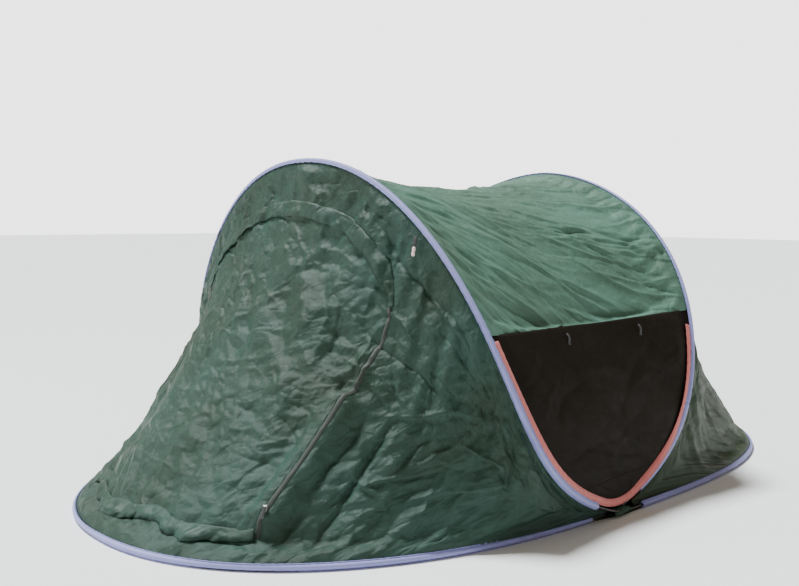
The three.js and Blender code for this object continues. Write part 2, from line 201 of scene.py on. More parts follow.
class Hoop:
    """A hoop from its right crossing to its left one, by arc length."""

    def __init__(self, half_width, width_power, bulge, reach, reach_power, side, lean=None, flare=0,
                 flare_height=1):
        t = (1 - np.cos(np.linspace(0, math.pi, 6001))) / 2
        angle = math.pi * t
        cosine = np.cos(angle)
        x = half_width * np.sign(cosine) * np.abs(cosine) ** width_power + bulge * np.sin(2 * angle)
        out = reach * np.maximum(np.sin(angle), 0) ** reach_power
        z = np.full_like(out, RING_HEIGHT)
        outward = out
        if lean is not None:
            outward = lean * out + flare * (1 - np.exp(-out / flare_height))
            z = RING_HEIGHT + out
        self.points = np.column_stack([x, CROSSING_Y + side * outward, z])
        self.arcs = run_of(self.points)
        self.length = self.arcs[-1]

    def at(self, arc):
        arc = np.asarray(arc, float)
        return np.stack([np.interp(arc, self.arcs, self.points[:, k]) for k in range(3)], axis=-1)

    def tangent(self, arc):
        reach = 0.004
        ahead = self.at(np.clip(arc + reach, 0, self.length))
        behind = self.at(np.clip(arc - reach, 0, self.length))
        return unit(ahead - behind)

    def arc_of(self, share):
        """Arc length at a share of the way: both legs have KNEE_ARC, and the rest is even."""
        near = 2 * np.minimum(share, 1 - share)
        over = KNEE_ARC + (near - LEG_SHARE) / (1 - LEG_SHARE) * (self.length / 2 - KNEE_ARC)
        arc = np.where(near < LEG_SHARE, near / LEG_SHARE * KNEE_ARC, over)
        return np.where(np.asarray(share) <= 0.5, arc, self.length - arc)


def unit(vectors):
    size = np.linalg.norm(vectors, axis=-1, keepdims=True)
    return vectors / np.maximum(size, 1e-9)


def square_to(vectors, tangents):
    """The part of each vector that is square to its tangent, at length 1."""
    return unit(vectors - np.sum(vectors * tangents, axis=-1, keepdims=True) * tangents)


def smooth(low, high, value):
    t = np.clip((value - low) / (high - low), 0, 1)
    return t * t * (3 - 2 * t)


def run_of(points):
    """Length so far along a path at each of its points."""
    return np.concatenate([[0], np.cumsum(np.linalg.norm(np.diff(points, axis=0), axis=1))])


def evenly(points, count):
    """A path redrawn through evenly spaced points, and its length so far at each."""
    run = run_of(points)
    even = np.linspace(0, run[-1], count)
    return np.column_stack([np.interp(even, run, points[:, k]) for k in range(points.shape[1])]), even


def waves(places, rng, low, high, count):
    """A sum of sine waves of random pitch and phase along a path."""
    return sum(np.sin(places * rng.uniform(low, high) + rng.uniform(0, 6)) for _ in range(count))


def turned(across, out, angle):
    """The two axes of a section, turned about the path by an angle at each station."""
    cosine, sine = np.cos(angle)[:, None], np.sin(angle)[:, None]
    return across * cosine + out * sine, out * cosine - across * sine


hoops = {name: Hoop(**shape) for name, shape in HOOP_SHAPES.items()}

# ---------------------------------------------------------------- materials


def new_material(name):
    material = bpy.data.materials.new(name)
    material.use_nodes = True
    tree = material.node_tree
    return material, tree, tree.nodes["Principled BSDF"]


def plug(tree, socket, value):
    """Feeds a socket from another socket, or sets it to a value."""
    if isinstance(value, bpy.types.NodeSocket):
        tree.links.new(value, socket)
    else:
        socket.default_value = value


def node(tree, kind, inputs=None, **settings):
    made = tree.nodes.new(f"ShaderNode{kind}")
    for key, value in settings.items():
        setattr(made, key, value)
    for key, value in (inputs or {}).items():
        plug(tree, made.inputs[key], value)
    return made


def math_node(tree, operation, *values):
    return node(tree, "Math", dict(enumerate(values)), operation=operation).outputs[0]


def mix_colours(tree, share, first, second):
    return node(tree, "Mix", {0: share, 6: first, 7: second}, data_type="RGBA").outputs[2]


def noise(tree, place, scale, detail, **more):
    return node(tree, "TexNoise", {"Vector": place, "Scale": scale, "Detail": detail, **more}).outputs


def spread(tree, value, low, high, to_low=0.0, to_high=1.0):
    """A value carried from one range to another, and held at its ends."""
    ends = {"Value": value, 1: low, 2: high, 3: to_low, 4: to_high}
    return node(tree, "MapRange", ends).outputs["Result"]


def bump(tree, height, distance, strength, normal=None):
    inputs = {"Height": height, "Distance": distance, "Strength": strength}
    if normal is not None:
        inputs["Normal"] = normal
    return node(tree, "Bump", inputs).outputs["Normal"]


def cloth_coordinates(tree):
    """The sheet's own coordinates, in metres along and across the cloth."""
    return node(tree, "UVMap", uv_map="cloth").outputs["UV"]


def weave_height(tree, along, across, pitch):
    """Plain weave: the product of two waves, one thread apart."""
    turn = 2 * math.pi / pitch
    warp = math_node(tree, "SINE", math_node(tree, "MULTIPLY", along, turn))
    weft = math_node(tree, "SINE", math_node(tree, "MULTIPLY", across, turn))
    return math_node(tree, "MULTIPLY", warp, weft)


WEAVE_DEPTH = 0.00015
CREASE_DEPTH = 0.0022
# Scale of each facet pattern, per metre, and the slope of its facets
FACETS = ((13.0, 0.13), (31.0, 0.11))


def woven_material(name, light, dark, roughness, sheen, pitch=0.0011, gleam=0.20, facets=1.0):
    """Coated polyester: a fine weave, set-in creases and facets, uneven in colour and gloss, with a painted
    highlight along the crease lines.
    """
    material, tree, shader = new_material(name)
    place = cloth_coordinates(tree)
    split = node(tree, "SeparateXYZ", {"Vector": place})
    weave = weave_height(tree, split.outputs["X"], split.outputs["Y"], pitch)
    cloud = noise(tree, place, 3.0, 4.0)["Fac"]
    grain = noise(tree, place, 160.0, 2.0)["Fac"]
    creases = noise(tree, place, 17.0, 5.0, Roughness=0.55, Distortion=0.6)
    ridge = math_node(tree, "ABSOLUTE", math_node(tree, "SUBTRACT", creases["Fac"], 0.5))
    base = mix_colours(tree, spread(tree, cloud, 0.32, 0.68), dark, light)
    # Painted highlight: a paler colour along the crease lines that the bump below raises
    crease_highlight = math_node(tree, "LESS_THAN", ridge, 0.012)
    pale = [min(1.0, 1.5 * c) for c in light[:3]] + [1]
    highlit_base = mix_colours(tree, math_node(tree, "MULTIPLY", crease_highlight, 0.22), base, pale)
    thread = math_node(tree, "MULTIPLY_ADD", weave, 0.05, 0.95)
    tint = math_node(tree, "MULTIPLY_ADD", grain, 0.16, 0.92)
    final = node(tree, "VectorMath", {0: highlit_base}, operation="SCALE")
    plug(tree, final.inputs["Scale"], math_node(tree, "MULTIPLY", thread, tint))
    plug(tree, shader.inputs["Base Color"], final.outputs["Vector"])
    gloss = spread(tree, creases["Fac"], 0.3, 0.7, roughness - 0.06, roughness + 0.08)
    plug(tree, shader.inputs["Roughness"], gloss)
    shader.inputs["Sheen Weight"].default_value = sheen
    shader.inputs["Sheen Roughness"].default_value = 0.4
    shader.inputs["Specular IOR Level"].default_value = gleam
    fine = bump(tree, weave, WEAVE_DEPTH, 0.6)
    normal = bump(tree, ridge, CREASE_DEPTH, 0.8, fine)
    bent = node(tree, "VectorMath", {0: creases["Color"], 1: (0.03,) * 3}, operation="MULTIPLY")
    shifted = node(tree, "VectorMath", {0: place, 1: bent.outputs["Vector"]}, operation="ADD")
    for scale, slope in FACETS:
        pattern = {"Vector": shifted.outputs["Vector"], "Scale": scale}
        facet = node(tree, "TexVoronoi", pattern, feature="DISTANCE_TO_EDGE")
        normal = bump(tree, facet.outputs["Distance"], facets * slope / scale, 0.9, normal)
    plug(tree, shader.inputs["Normal"], normal)
    return material


STITCH_LENGTH = 0.0034
STITCH_HALF = 0.00045
RIB_DEPTH = 0.0004


def tape_material(name, light, dark, roughness, stitch_at, stitch_colour, pitch=0.0016):
    """A narrow woven tape, ribbed across, with a row of stitches near each edge."""
    material, tree, shader = new_material(name)
    place = cloth_coordinates(tree)
    split = node(tree, "SeparateXYZ", {"Vector": place})
    along, across = split.outputs["X"], split.outputs["Y"]
    rib = math_node(tree, "SINE", math_node(tree, "MULTIPLY", along, 2 * math.pi / pitch))
    weave = weave_height(tree, along, across, pitch * 0.5)
    cloud = noise(tree, place, 22.0, 4.0)["Fac"]
    base = mix_colours(tree, cloud, dark, light)
    from_middle = math_node(tree, "ABSOLUTE", across)
    from_line = math_node(tree, "ABSOLUTE", math_node(tree, "SUBTRACT", from_middle, stitch_at))
    on_line = math_node(tree, "LESS_THAN", from_line, STITCH_HALF)
    step = math_node(tree, "FRACT", math_node(tree, "DIVIDE", along, STITCH_LENGTH))
    stitch = math_node(tree, "MULTIPLY", on_line, math_node(tree, "LESS_THAN", step, 0.66))
    plug(tree, shader.inputs["Base Color"], mix_colours(tree, stitch, base, stitch_colour))
    furrow = spread(tree, from_line, 0.0, 0.0012, -1.0, 0.0)
    height = math_node(tree, "ADD", math_node(tree, "MULTIPLY", rib, 0.25), furrow)
    height = math_node(tree, "ADD", height, math_node(tree, "MULTIPLY", stitch, 1.3))
    height = math_node(tree, "ADD", height, math_node(tree, "MULTIPLY", weave, 0.15))
    plug(tree, shader.inputs["Normal"], bump(tree, height, RIB_DEPTH, 0.8))
    wear = spread(tree, cloud, 0.3, 0.7, roughness - 0.08, roughness + 0.08)
    plug(tree, shader.inputs["Roughness"], wear)
    shader.inputs["Sheen Weight"].default_value = 0.15
    return material


def hard_material(name, light, dark, roughness, metallic=0.0, scale=60.0):
    """Moulded plastic, fibreglass or plated steel, mottled and finely marked."""
    material, tree, shader = new_material(name)
    place = node(tree, "TexCoord").outputs["Object"]
    mottle = noise(tree, place, scale, 5.0)["Fac"]
    fine = noise(tree, place, scale * 14, 3.0)["Fac"]
    plug(tree, shader.inputs["Base Color"], mix_colours(tree, mottle, dark, light))
    gloss = spread(tree, fine, 0.3, 0.7, roughness - 0.07, roughness + 0.1)
    plug(tree, shader.inputs["Roughness"], gloss)
    shader.inputs["Metallic"].default_value = metallic
    plug(tree, shader.inputs["Normal"], bump(tree, fine, 0.0003, 0.5))
    return material


def rgb(red, green, blue):
    """A linear colour from 0-255 display values."""
    values = [c / 255 for c in (red, green, blue)]
    return [c / 12.92 if c <= 0.04045 else ((c + 0.055) / 1.055) ** 2.4 for c in values] + [1]


wall_green = woven_material("wall_green", rgb(46, 74, 66), rgb(38, 55, 44), 0.42, 0.0)
# Painted light: the roof is the same green cloth as the walls, painted lighter to stand in for the light on its
# upward faces
roof_green_painted_lit = woven_material("roof_green_painted_lit", rgb(88, 126, 112), rgb(72, 100, 84), 0.40, 0.0, facets=0.5)
# Painted shade: the same green cloth, painted darker and more olive for the rear wall, which faces away from the
# light
rear_green_painted_shade = woven_material("rear_green_painted_shade", rgb(46, 64, 46), rgb(38, 50, 34), 0.46, 0.0)
dark_cloth = woven_material("dark_cloth", rgb(28, 22, 17), rgb(22, 17, 12), 0.6, 0.0, gleam=0.08, facets=0.3)
ground_cloth = woven_material("ground_cloth", rgb(62, 74, 68), rgb(50, 60, 55), 0.55, 0.02, pitch=0.003)
tab_green = woven_material("tab_green", rgb(54, 84, 72), rgb(40, 62, 52), 0.5, 0.1)
lilac_tape = tape_material(
    "lilac_tape", rgb(150, 152, 210), rgb(132, 134, 194), 0.55, 0.0077, rgb(78, 82, 160),
)
pink_tape = tape_material(
    "pink_tape", rgb(214, 118, 112), rgb(196, 98, 96), 0.55, 0.0065, rgb(160, 70, 74),
)
zip_tape = tape_material("zip_tape", rgb(24, 36, 29), rgb(16, 24, 19), 0.6, 0.0028, rgb(34, 48, 40))
webbing = tape_material("webbing", rgb(34, 34, 38), rgb(20, 20, 23), 0.7, 0.0030, rgb(52, 52, 58))
rod_black = hard_material("rod_black", rgb(30, 30, 34), rgb(18, 18, 21), 0.32)
plated_steel = hard_material("plated_steel", rgb(196, 198, 202), rgb(160, 162, 168), 0.28, 1.0)
toggle_plastic = hard_material("toggle_plastic", rgb(240, 214, 212), rgb(226, 192, 192), 0.36, scale=90.0)

# ---------------------------------------------------------------- mesh helpers


def add_mesh(name, points, faces, material, uvs=None):
    """A mesh object; uvs holds the cloth coordinates of each point."""
    mesh = bpy.data.meshes.new(name)
    mesh.from_pydata([tuple(p) for p in np.asarray(points, float)], [], [tuple(f) for f in faces])
    if uvs is not None:
        layer = mesh.uv_layers.new(name="cloth")
        corner_points = np.zeros(len(mesh.loops), np.int32)
        mesh.loops.foreach_get("vertex_index", corner_points)
        layer.data.foreach_set("uv", np.asarray(uvs, np.float32)[corner_points].ravel())
    mesh.materials.append(material)
    mesh.polygons.foreach_set("use_smooth", np.ones(len(mesh.polygons), bool))
    mesh.update()
    piece = bpy.data.objects.new(name, mesh)
    bpy.context.scene.collection.objects.link(piece)
    return piece


def grid_faces(columns, rows):
    """Quads of a grid of points, columns first."""
    i, j = np.meshgrid(np.arange(columns - 1), np.arange(rows - 1), indexing="ij")
    first = (i * rows + j).ravel()
    return np.column_stack([first, first + rows, first + rows + 1, first + 1])


def tube_faces(rings, count):
    """Quads of a tube made of rings of points."""
    i, j = np.meshgrid(np.arange(rings - 1), np.arange(count), indexing="ij")
    here, after = (i * count + j).ravel(), (i * count + (j + 1) % count).ravel()
    return [tuple(f) for f in np.column_stack([here, here + count, after + count, after])]


def end_faces(rings, count):
    """The two caps of such a tube."""
    last = (rings - 1) * count
    return [tuple(range(count)), tuple(reversed(range(last, last + count)))]


def face_out(piece, middle):
    """Turns the piece's faces away from a point inside the tent."""
    mesh = piece.data
    centres = np.array([p.center for p in mesh.polygons])
    normals = np.array([p.normal for p in mesh.polygons])
    if np.sum((centres - np.array(middle)) * normals) < 0:
        mesh.flip_normals()


def thicken(piece, thickness):
    """Gives a sheet its thickness, inward from its outer face."""
    solid = piece.modifiers.new("thickness", "SOLIDIFY")
    solid.thickness = thickness
    solid.offset = -1
    apply_modifiers(piece)


def apply_modifiers(piece):
    graph = bpy.context.evaluated_depsgraph_get()
    made = bpy.data.meshes.new_from_object(piece.evaluated_get(graph), depsgraph=graph)
    piece.modifiers.clear()
    piece.data = made


def points_of(piece):
    points = np.zeros(len(piece.data.vertices) * 3)
    piece.data.vertices.foreach_get("co", points)
    return points.reshape(-1, 3)


def bend(piece, first, second, weights):
    """Bakes the piece's transform into its mesh; the two bodies and the shares are not used."""
    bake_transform(piece)


def part_off(piece, name, chosen):
    """Takes the faces whose centres are chosen off into a piece of their own."""
    other = piece.copy()
    other.data = piece.data.copy()
    other.name = name
    bpy.context.scene.collection.objects.link(other)
    for part, keeps_chosen in ((piece, False), (other, True)):
        made = bmesh.new()
        made.from_mesh(part.data)
        dropped = [face for face in made.faces if chosen(face.calc_center_median()) != keeps_chosen]
        bmesh.ops.delete(made, geom=dropped, context="FACES")
        made.to_mesh(part.data)
        made.free()
    return other


def part_below_knees(piece, label, side):
    """Takes off what is below the knees: its rear half rides the rear floor loop, its front half the
    front one."""
    rear = part_off(piece, f"{label}_rear_{side}", lambda centre: centre.z < KNEE_HEIGHT)
    front = part_off(rear, f"{label}_front_{side}", lambda centre: centre.y < CROSSING_Y)
    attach(rear, "rear_floor")
    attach(front, "front_floor")
    return [front, rear]


def keep_shares(piece, name, values):
    attribute = piece.data.attributes.new(name, "FLOAT", "POINT")
    attribute.data.foreach_set("value", np.asarray(values, np.float32).ravel())


def shares_of(piece, name):
    values = np.zeros(len(piece.data.vertices), np.float32)
    piece.data.attributes[name].data.foreach_get("value", values)
    return values


# ---------------------------------------------------------------- rods and sleeves

UP = np.array([0.0, 0.0, 1.0])
TAPE_THICKNESS = 0.0006
SLEEVE_PUCKER = 0.00022
SLEEVE_TWIST = 0.10
SLEEVE_STARTS = {"front_arch": 0.131, "rear_arch": 0.118, "rear_floor": 0.095, "front_floor": 0.108}
KNEE_LOW = 0.075
KNEE_HIGH = 0.135
KNEE_HEIGHT = (KNEE_LOW + KNEE_HIGH) / 2


def sleeve_axes(name, arcs):
    """Unit vectors across the tape and out of it, at each arc length of a hoop."""
    hoop = hoops[name]
    points, tangents = hoop.at(arcs), hoop.tangent(arcs)
    shares = np.interp(arcs, hoop.arc_of(SHARES), SHARES)

    def towards(other):
        return square_to(hoops[other].at(hoops[other].arc_of(shares)) - points, tangents)

    if name.endswith("floor"):
        across = square_to(np.broadcast_to(UP, points.shape), tangents)
        out = np.cross(tangents, across)
        outward = points - np.array([0, CROSSING_Y, 0])
    else:
        end = name.split("_")[0]
        other_arch = "rear_arch" if end == "front" else "front_arch"
        to_roof, to_wall = towards(other_arch), towards(f"{end}_floor")
        across = square_to(to_roof - to_wall, tangents)
        out = np.cross(tangents, across)
        outward = -(to_roof + to_wall)
    flip = np.sign(np.sum(out * outward, axis=-1, keepdims=True))
    return points, across, out * np.where(flip == 0, 1, flip), tangents


SHARES = np.linspace(0, 1, 2001)

# Section of a sleeve, millimetres across and out: a pocket for the rod between two sewn edges
SLEEVE_SECTION = [
    (-9.6, -0.9), (-9.8, -0.1), (-9.2, 0.5), (-8.2, 0.5), (-7.6, 0.2), (-6.9, 0.7), (-5.9, 2.6), (-4.2, 4.6),
    (-2.2, 5.8), (0.0, 6.2), (2.2, 5.8), (4.2, 4.6), (5.9, 2.6), (6.9, 0.7), (7.6, 0.2), (8.2, 0.5),
    (9.2, 0.5), (9.8, -0.1), (9.6, -0.9), (6.0, -2.2), (3.0, -4.2), (0.0, -4.6), (-3.0, -4.2), (-6.0, -2.2),
]


def sweep(name, points, across, out, section, material, arcs, closed_ends=True):
    """Loft of a section, in metres across and out, along a path: one section, or one per station."""
    section = np.asarray(section, float)
    if section.ndim == 2:
        section = np.broadcast_to(section, (len(points), *section.shape))
    count = section.shape[1]
    rings = (
        points[:, None] + section[:, :, 0:1] * across[:, None] + section[:, :, 1:2] * out[:, None]
    )
    faces = tube_faces(len(points), count)
    if closed_ends:
        faces += end_faces(len(points), count)
    uvs = np.stack([np.broadcast_to(arcs[:, None], section.shape[:2]), section[:, :, 0]], axis=-1)
    piece = add_mesh(name, rings.reshape(-1, 3), faces, material, uvs.reshape(-1, 2))
    fix_normals(piece)
    return piece


def fix_normals(piece):
    made = bmesh.new()
    made.from_mesh(piece.data)
    bmesh.ops.recalc_face_normals(made, faces=made.faces)
    made.to_mesh(piece.data)
    made.free()


def puckered(section, pucker, weight=1.0):
    """A section given in millimetres, repeated at each station and lifted there by the pucker."""
    base = np.array(section) / 1000
    sections = np.broadcast_to(base, (len(pucker), *base.shape)).copy()
    sections[:, :, 1] += pucker[:, None] * weight
    return sections


def ring_bodies(piece, name):
    """A floor loop rides its body whole; for an arch, shares rising across its knees between its floor body and
    its arch body are worked out, and its transform is baked.
    """
    if name.endswith("floor"):
        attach(piece, name)
        return
    height = points_of(piece)[:, 2]
    floor = name.split("_")[0] + "_floor"
    shares = smooth(KNEE_LOW, KNEE_HIGH, height)
    if name == "rear_arch":
        bend(piece, floor, name, shares)
    else:
        bend(piece, name, floor, 1 - shares)


def make_sleeve(name, replaced):
    """The folded tape round a ring: puckered a little along its stitches, cut square near the crossings."""
    hoop = hoops[name]
    start = SLEEVE_STARTS[name]
    arcs = np.linspace(start, hoop.length - start, 560)
    points, across, out, _ = sleeve_axes(name, arcs)
    rng = np.random.default_rng(len(name) + int(hoop.length * 1000))
    pucker = waves(arcs, rng, 180, 420, 4) * SLEEVE_PUCKER
    across, out = turned(across, out, waves(arcs, rng, 4, 14, 3) * SLEEVE_TWIST)
    flange = smooth(0.006, 0.0095, np.abs(np.array(SLEEVE_SECTION)[:, 0] / 1000))
    section = puckered(SLEEVE_SECTION, pucker, 0.4 + flange)
    piece = sweep(f"{name}_tape", points, across, out, section, lilac_tape, arcs, closed_ends=False)
    thicken(piece, TAPE_THICKNESS)
    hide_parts(*replaced)
    return piece


def make_rod(name, replaced):
    """The ring's sprung rod, from crossing to crossing."""
    hoop = hoops[name]
    arcs = np.linspace(0, hoop.length, 420)
    points, across, out, _ = sleeve_axes(name, arcs)
    turn = np.linspace(0, 2 * math.pi, 12, endpoint=False)
    section = np.column_stack([np.cos(turn), np.sin(turn)]) * ROD_RADIUS
    piece = sweep(f"{name}_rod_smooth", points, across, out, section, rod_black, arcs)
    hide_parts(*replaced)
    return piece


def make_rings():
    for end in ("front", "rear"):
        legs = [f"{end}_leg_{{}}_{side}" for side in ("right", "left")]
        arch_rods = [f"{end}_arch_rod_{side}" for side in ("right", "left")]
        parts = {
            f"{end}_arch": (
                arch_rods + [leg.format("rod") for leg in legs],
                [f"{end}_arch_sleeve"] + [leg.format("sleeve") for leg in legs],
            ),
            f"{end}_floor": ([f"{end}_floor_rod"], [f"{end}_floor_sleeve"]),
        }
        for name, (rods, sleeves) in parts.items():
            ring_bodies(make_rod(name, rods), name)
            ring_bodies(make_sleeve(name, sleeves), name)


make_rings()

# ---------------------------------------------------------------- cloth panels

CABIN_MIDDLE = np.array([0, CROSSING_Y, 0.3])
ARCH_HEIGHT = HOOP_SHAPES["front_arch"]["reach"]
CLOTH_THICKNESS = 0.0008


class Panel:
    """A grid of cloth between two hoops. Each point has its place along and across the cloth in metres,
    its share of the way from the lower hoop, and its swing: the same share, fading below the knees."""

    def __init__(self, lower, upper, first, last, columns, rows, inset, sag):
        self.columns, self.rows = columns, rows
        shares = np.linspace(first, last, columns)
        lower_arcs, upper_arcs = (hoops[h].arc_of(shares) for h in (lower, upper))
        start, end = hoops[lower].at(lower_arcs), hoops[upper].at(upper_arcs)
        span = end - start
        start = start + inset * square_to(span, hoops[lower].tangent(lower_arcs))
        end = end - inset * square_to(span, hoops[upper].tangent(upper_arcs))
        across = np.linspace(0, 1, rows)
        points = start[:, None] * (1 - across)[None, :, None] + end[:, None] * across[None, :, None]
        inward = unit(CABIN_MIDDLE - points)
        dip = sag * np.minimum(1, np.linalg.norm(end - start, axis=1) / ARCH_HEIGHT)
        self.points = points + inward * (dip[:, None] * np.sin(math.pi * across)[None])[..., None]
        self.share = np.broadcast_to(across[None], (columns, rows))
        above_knee = smooth(KNEE_LOW, KNEE_HIGH, hoops[upper].at(upper_arcs)[:, 2])
        self.swing = across[None] * above_knee[:, None]
        self.measure()

    def run(self, axis):
        steps = np.linalg.norm(np.diff(self.points, axis=axis), axis=-1)
        zero = np.zeros((1, steps.shape[1]) if axis == 0 else (steps.shape[0], 1))
        return np.concatenate([zero, np.cumsum(steps, axis=axis)], axis=axis)

    def normals(self):
        along = np.gradient(self.points, axis=0)
        across = np.gradient(self.points, axis=1)
        normal = unit(np.cross(along, across))
        outward = np.sum(normal * (self.points - CABIN_MIDDLE), axis=-1)
        return normal * np.sign(np.sum(outward))

    def push(self, height, edge=0.04):
        """Lifts the cloth out by height, fading to nothing at the sewn edges."""
        self.points = self.points + self.normals() * (height * self.inner(edge))[..., None]

    def measure(self):
        """Takes the cloth coordinates anew from the points."""
        self.along = self.run(0)
        self.across = self.run(1)
        self.along = self.along - self.along[self.columns // 2][None]

    def settle(self, grow, cap, frames=16):
        """Cloth simulation between the hoops: the sheet is cut a little large and falls into folds."""
        piece = self.mesh("settling", wall_green)
        edge = np.zeros((self.columns, self.rows), bool)
        edge[[0, -1]] = True
        edge[:, [0, -1]] = True
        drape(piece, edge.ravel(), frames, -grow, cap)
        moved = points_of(piece).reshape(self.columns, self.rows, 3) - self.points
        self.points = self.points + moved * self.inner(0.07)[..., None]
        bpy.data.objects.remove(piece)

    def inner(self, margin):
        """0 at the sewn edges, rising to 1 at a margin from them."""
        return smooth(0, margin, self.across) * smooth(0, margin, self.across[:, -1:] - self.across)

    def refine(self, columns, rows):
        """The same cloth on a finer grid, smoothed to lose the coarse grid's corners."""
        for name in ("points", "share", "swing"):
            setattr(self, name, resample(resample(getattr(self, name), columns, 0), rows, 1))
        self.columns, self.rows = columns, rows
        for _ in range(2):
            even_out(self.points)
            even_out(self.points.swapaxes(0, 1))
        self.measure()

    def mesh(self, name, material):
        uvs = np.stack([self.along, self.across], axis=-1).reshape(-1, 2)
        piece = add_mesh(
            name, self.points.reshape(-1, 3), grid_faces(self.columns, self.rows), material, uvs,
        )
        face_out(piece, CABIN_MIDDLE)
        return piece


def even_out(points):
    """Smooths rows of points along their first axis, in place; the ends stay."""
    points[1:-1] = (points[:-2] + 2 * points[1:-1] + points[2:]) / 4


def resample(values, count, axis):
    """Values at evenly spread places along one axis of a grid."""
    place = np.linspace(0, values.shape[axis] - 1, count)
    low = np.minimum(place.astype(int), values.shape[axis] - 2)
    part = place - low
    shape = [1] * values.ndim
    shape[axis] = count
    part = part.reshape(shape)
    return np.take(values, low, axis) * (1 - part) + np.take(values, low + 1, axis) * part


def crease(u, v, start, end, width, height, bow=0.0, wave=0.0, skew=1.0):
    """One sharp fold from start to end, highest in the middle; skew makes one of its flanks steeper."""
    way = np.subtract(end, start)
    half = float(np.hypot(*way)) / 2
    way = way / (2 * half)
    middle = (np.array(start) + end) / 2
    reach = np.abs(way) * half + 5 * width + 0.1 * half
    total = np.zeros_like(u)
    near = (np.abs(u - middle[0]) < reach[0]) & (np.abs(v - middle[1]) < reach[1])
    du, dv = u[near] - middle[0], v[near] - middle[1]
    along = np.clip((du * way[0] + dv * way[1]) / half, -1, 1)
    aside = dv * way[0] - du * way[1]
    aside = aside - bow * half * along * along - 0.03 * half * np.sin(5 * along + wave)
    flank = aside / width
    flank = np.where(flank > 0, flank * skew, -flank)
    total[near] = height * np.exp(-np.sqrt(flank ** 2 + 0.002)) * (1 - along ** 2)
    return total


def folds(u, v, rng, count, length, width, height, heading, spread, bow=0.15, strength=None):
    """Sharp folds at random places. Each has its own heading, length, width, height and slight bow;
    strength(u, v) says how strong folds are at a place."""
    total = np.zeros_like(u)
    low_u, high_u, low_v, high_v = u.min(), u.max(), v.min(), v.max()
    for _ in range(count):
        centre = np.array([rng.uniform(low_u, high_u), rng.uniform(low_v, high_v)])
        angle = heading + rng.normal() * spread
        reach = rng.uniform(*length) / 2 * np.array([math.cos(angle), math.sin(angle)])
        lift = rng.uniform(*height) * rng.choice((-1.0, 1.0))
        if strength is not None:
            lift = lift * float(strength(*centre))
        total += crease(
            u, v, centre - reach, centre + reach, rng.uniform(*width), lift, rng.normal() * bow,
            rng.uniform(0, 2 * math.pi), rng.uniform(1, 2.5),
        )
    return total


def crumple(u, v, rng, cell, slope, stretch=1.0, heading=0.0):
    """Crumpled cloth: flat facets that meet in sharp straight creases. Each cell of a random pattern is a
    low pyramid or pit; cells are about `cell` metres wide and `stretch` times as long along the heading."""
    along = (u * math.cos(heading) + v * math.sin(heading)) / stretch
    aside = v * math.cos(heading) - u * math.sin(heading)
    bend_along = swell(u, v, rng, 5, (2 * cell, 6 * cell), 0.10 * cell)
    bend_aside = swell(u, v, rng, 5, (2 * cell, 6 * cell), 0.10 * cell)
    place = np.stack([along + bend_along, aside + bend_aside], axis=-1) / cell
    low = np.floor(place.min(axis=(0, 1))).astype(int) - 3
    size = np.ceil(place.max(axis=(0, 1))).astype(int) + 4 - low
    seeds = rng.random((*size, 2)) + np.stack(np.indices(size), axis=-1) + low
    tilt = rng.uniform(0.25, 1.0, tuple(size)) * rng.choice((-1.0, 1.0), tuple(size))
    home = np.floor(place).astype(int) - low
    steps = [(i, j) for i in range(-2, 3) for j in range(-2, 3)]
    around = np.stack([seeds[home[..., 0] + i, home[..., 1] + j] for i, j in steps], axis=-2)
    tilts = np.stack([tilt[home[..., 0] + i, home[..., 1] + j] for i, j in steps], axis=-1)
    distance = np.sum((around - place[..., None, :]) ** 2, axis=-1)
    nearest = np.argmin(distance, axis=-1)[..., None]
    own = np.take_along_axis(around, nearest[..., None], axis=-2)
    apart = np.linalg.norm(around - own, axis=-1)
    first = np.take_along_axis(distance, nearest, axis=-1)
    to_edge = np.where(apart > 1e-6, (distance - first) / (2 * np.maximum(apart, 1e-6)), np.inf)
    own_tilt = np.take_along_axis(tilts, nearest, axis=-1)[..., 0]
    return to_edge.min(axis=-1) * cell * slope * own_tilt


def swell(u, v, rng, waves, wavelength, height):
    """Broad, soft unevenness: a sum of slow waves."""
    total = np.zeros_like(u)
    for _ in range(waves):
        angle = rng.uniform(0, math.pi)
        number = 2 * math.pi / rng.uniform(*wavelength)
        total += np.sin((u * math.cos(angle) + v * math.sin(angle)) * number + rng.uniform(0, 6.3))
    return total * height / math.sqrt(waves)


SIMULATION = {
    "quality": 5, "mass": 0.12, "tension_stiffness": 18, "compression_stiffness": 14, "shear_stiffness": 6,
    "bending_stiffness": 0.25, "tension_damping": 8, "compression_damping": 8, "shear_damping": 8,
    "air_damping": 2, "vertex_group_mass": "pins",
}


def drape(piece, pins, frames, shrink, cap):
    """Cloth simulation of a sheet held at its pinned points, with the result applied; no point moves
    further than cap."""
    rest = points_of(piece)
    group = piece.vertex_groups.new(name="pins")
    group.add([int(k) for k in np.nonzero(pins)[0]], 1.0, "REPLACE")
    cloth = piece.modifiers.new("drape", "CLOTH")
    for key, value in SIMULATION.items():
        setattr(cloth.settings, key, value)
    cloth.settings.shrink_min = shrink
    cloth.point_cache.frame_start = 1
    cloth.point_cache.frame_end = frames
    scene = bpy.context.scene
    scene.frame_start, scene.frame_end = 1, max(frames, scene.frame_end)
    for step in range(1, frames + 1):
        scene.frame_set(step)
    apply_modifiers(piece)
    scene.frame_set(1)
    moved = points_of(piece) - rest
    size = np.linalg.norm(moved, axis=1, keepdims=True)
    kept = rest + moved * np.minimum(1, cap / np.maximum(size, 1e-9))
    piece.data.vertices.foreach_set("co", kept.astype(np.float32).ravel())
    piece.data.update()
    piece.vertex_groups.clear()


EDGE_TUCK = 0.006
SIDE_TUCK = 0.012
SIDE_FIRST = 0.030
WALL_FIRST = 0.050
FRONT_SAG = 0.060
REAR_SAG = 0.042
ROOF_SAG = 0.050
SIDE_SAG = 0.022
# How far the side panel dips behind the binding sewn to its edge
SIDE_DIP = 0.005


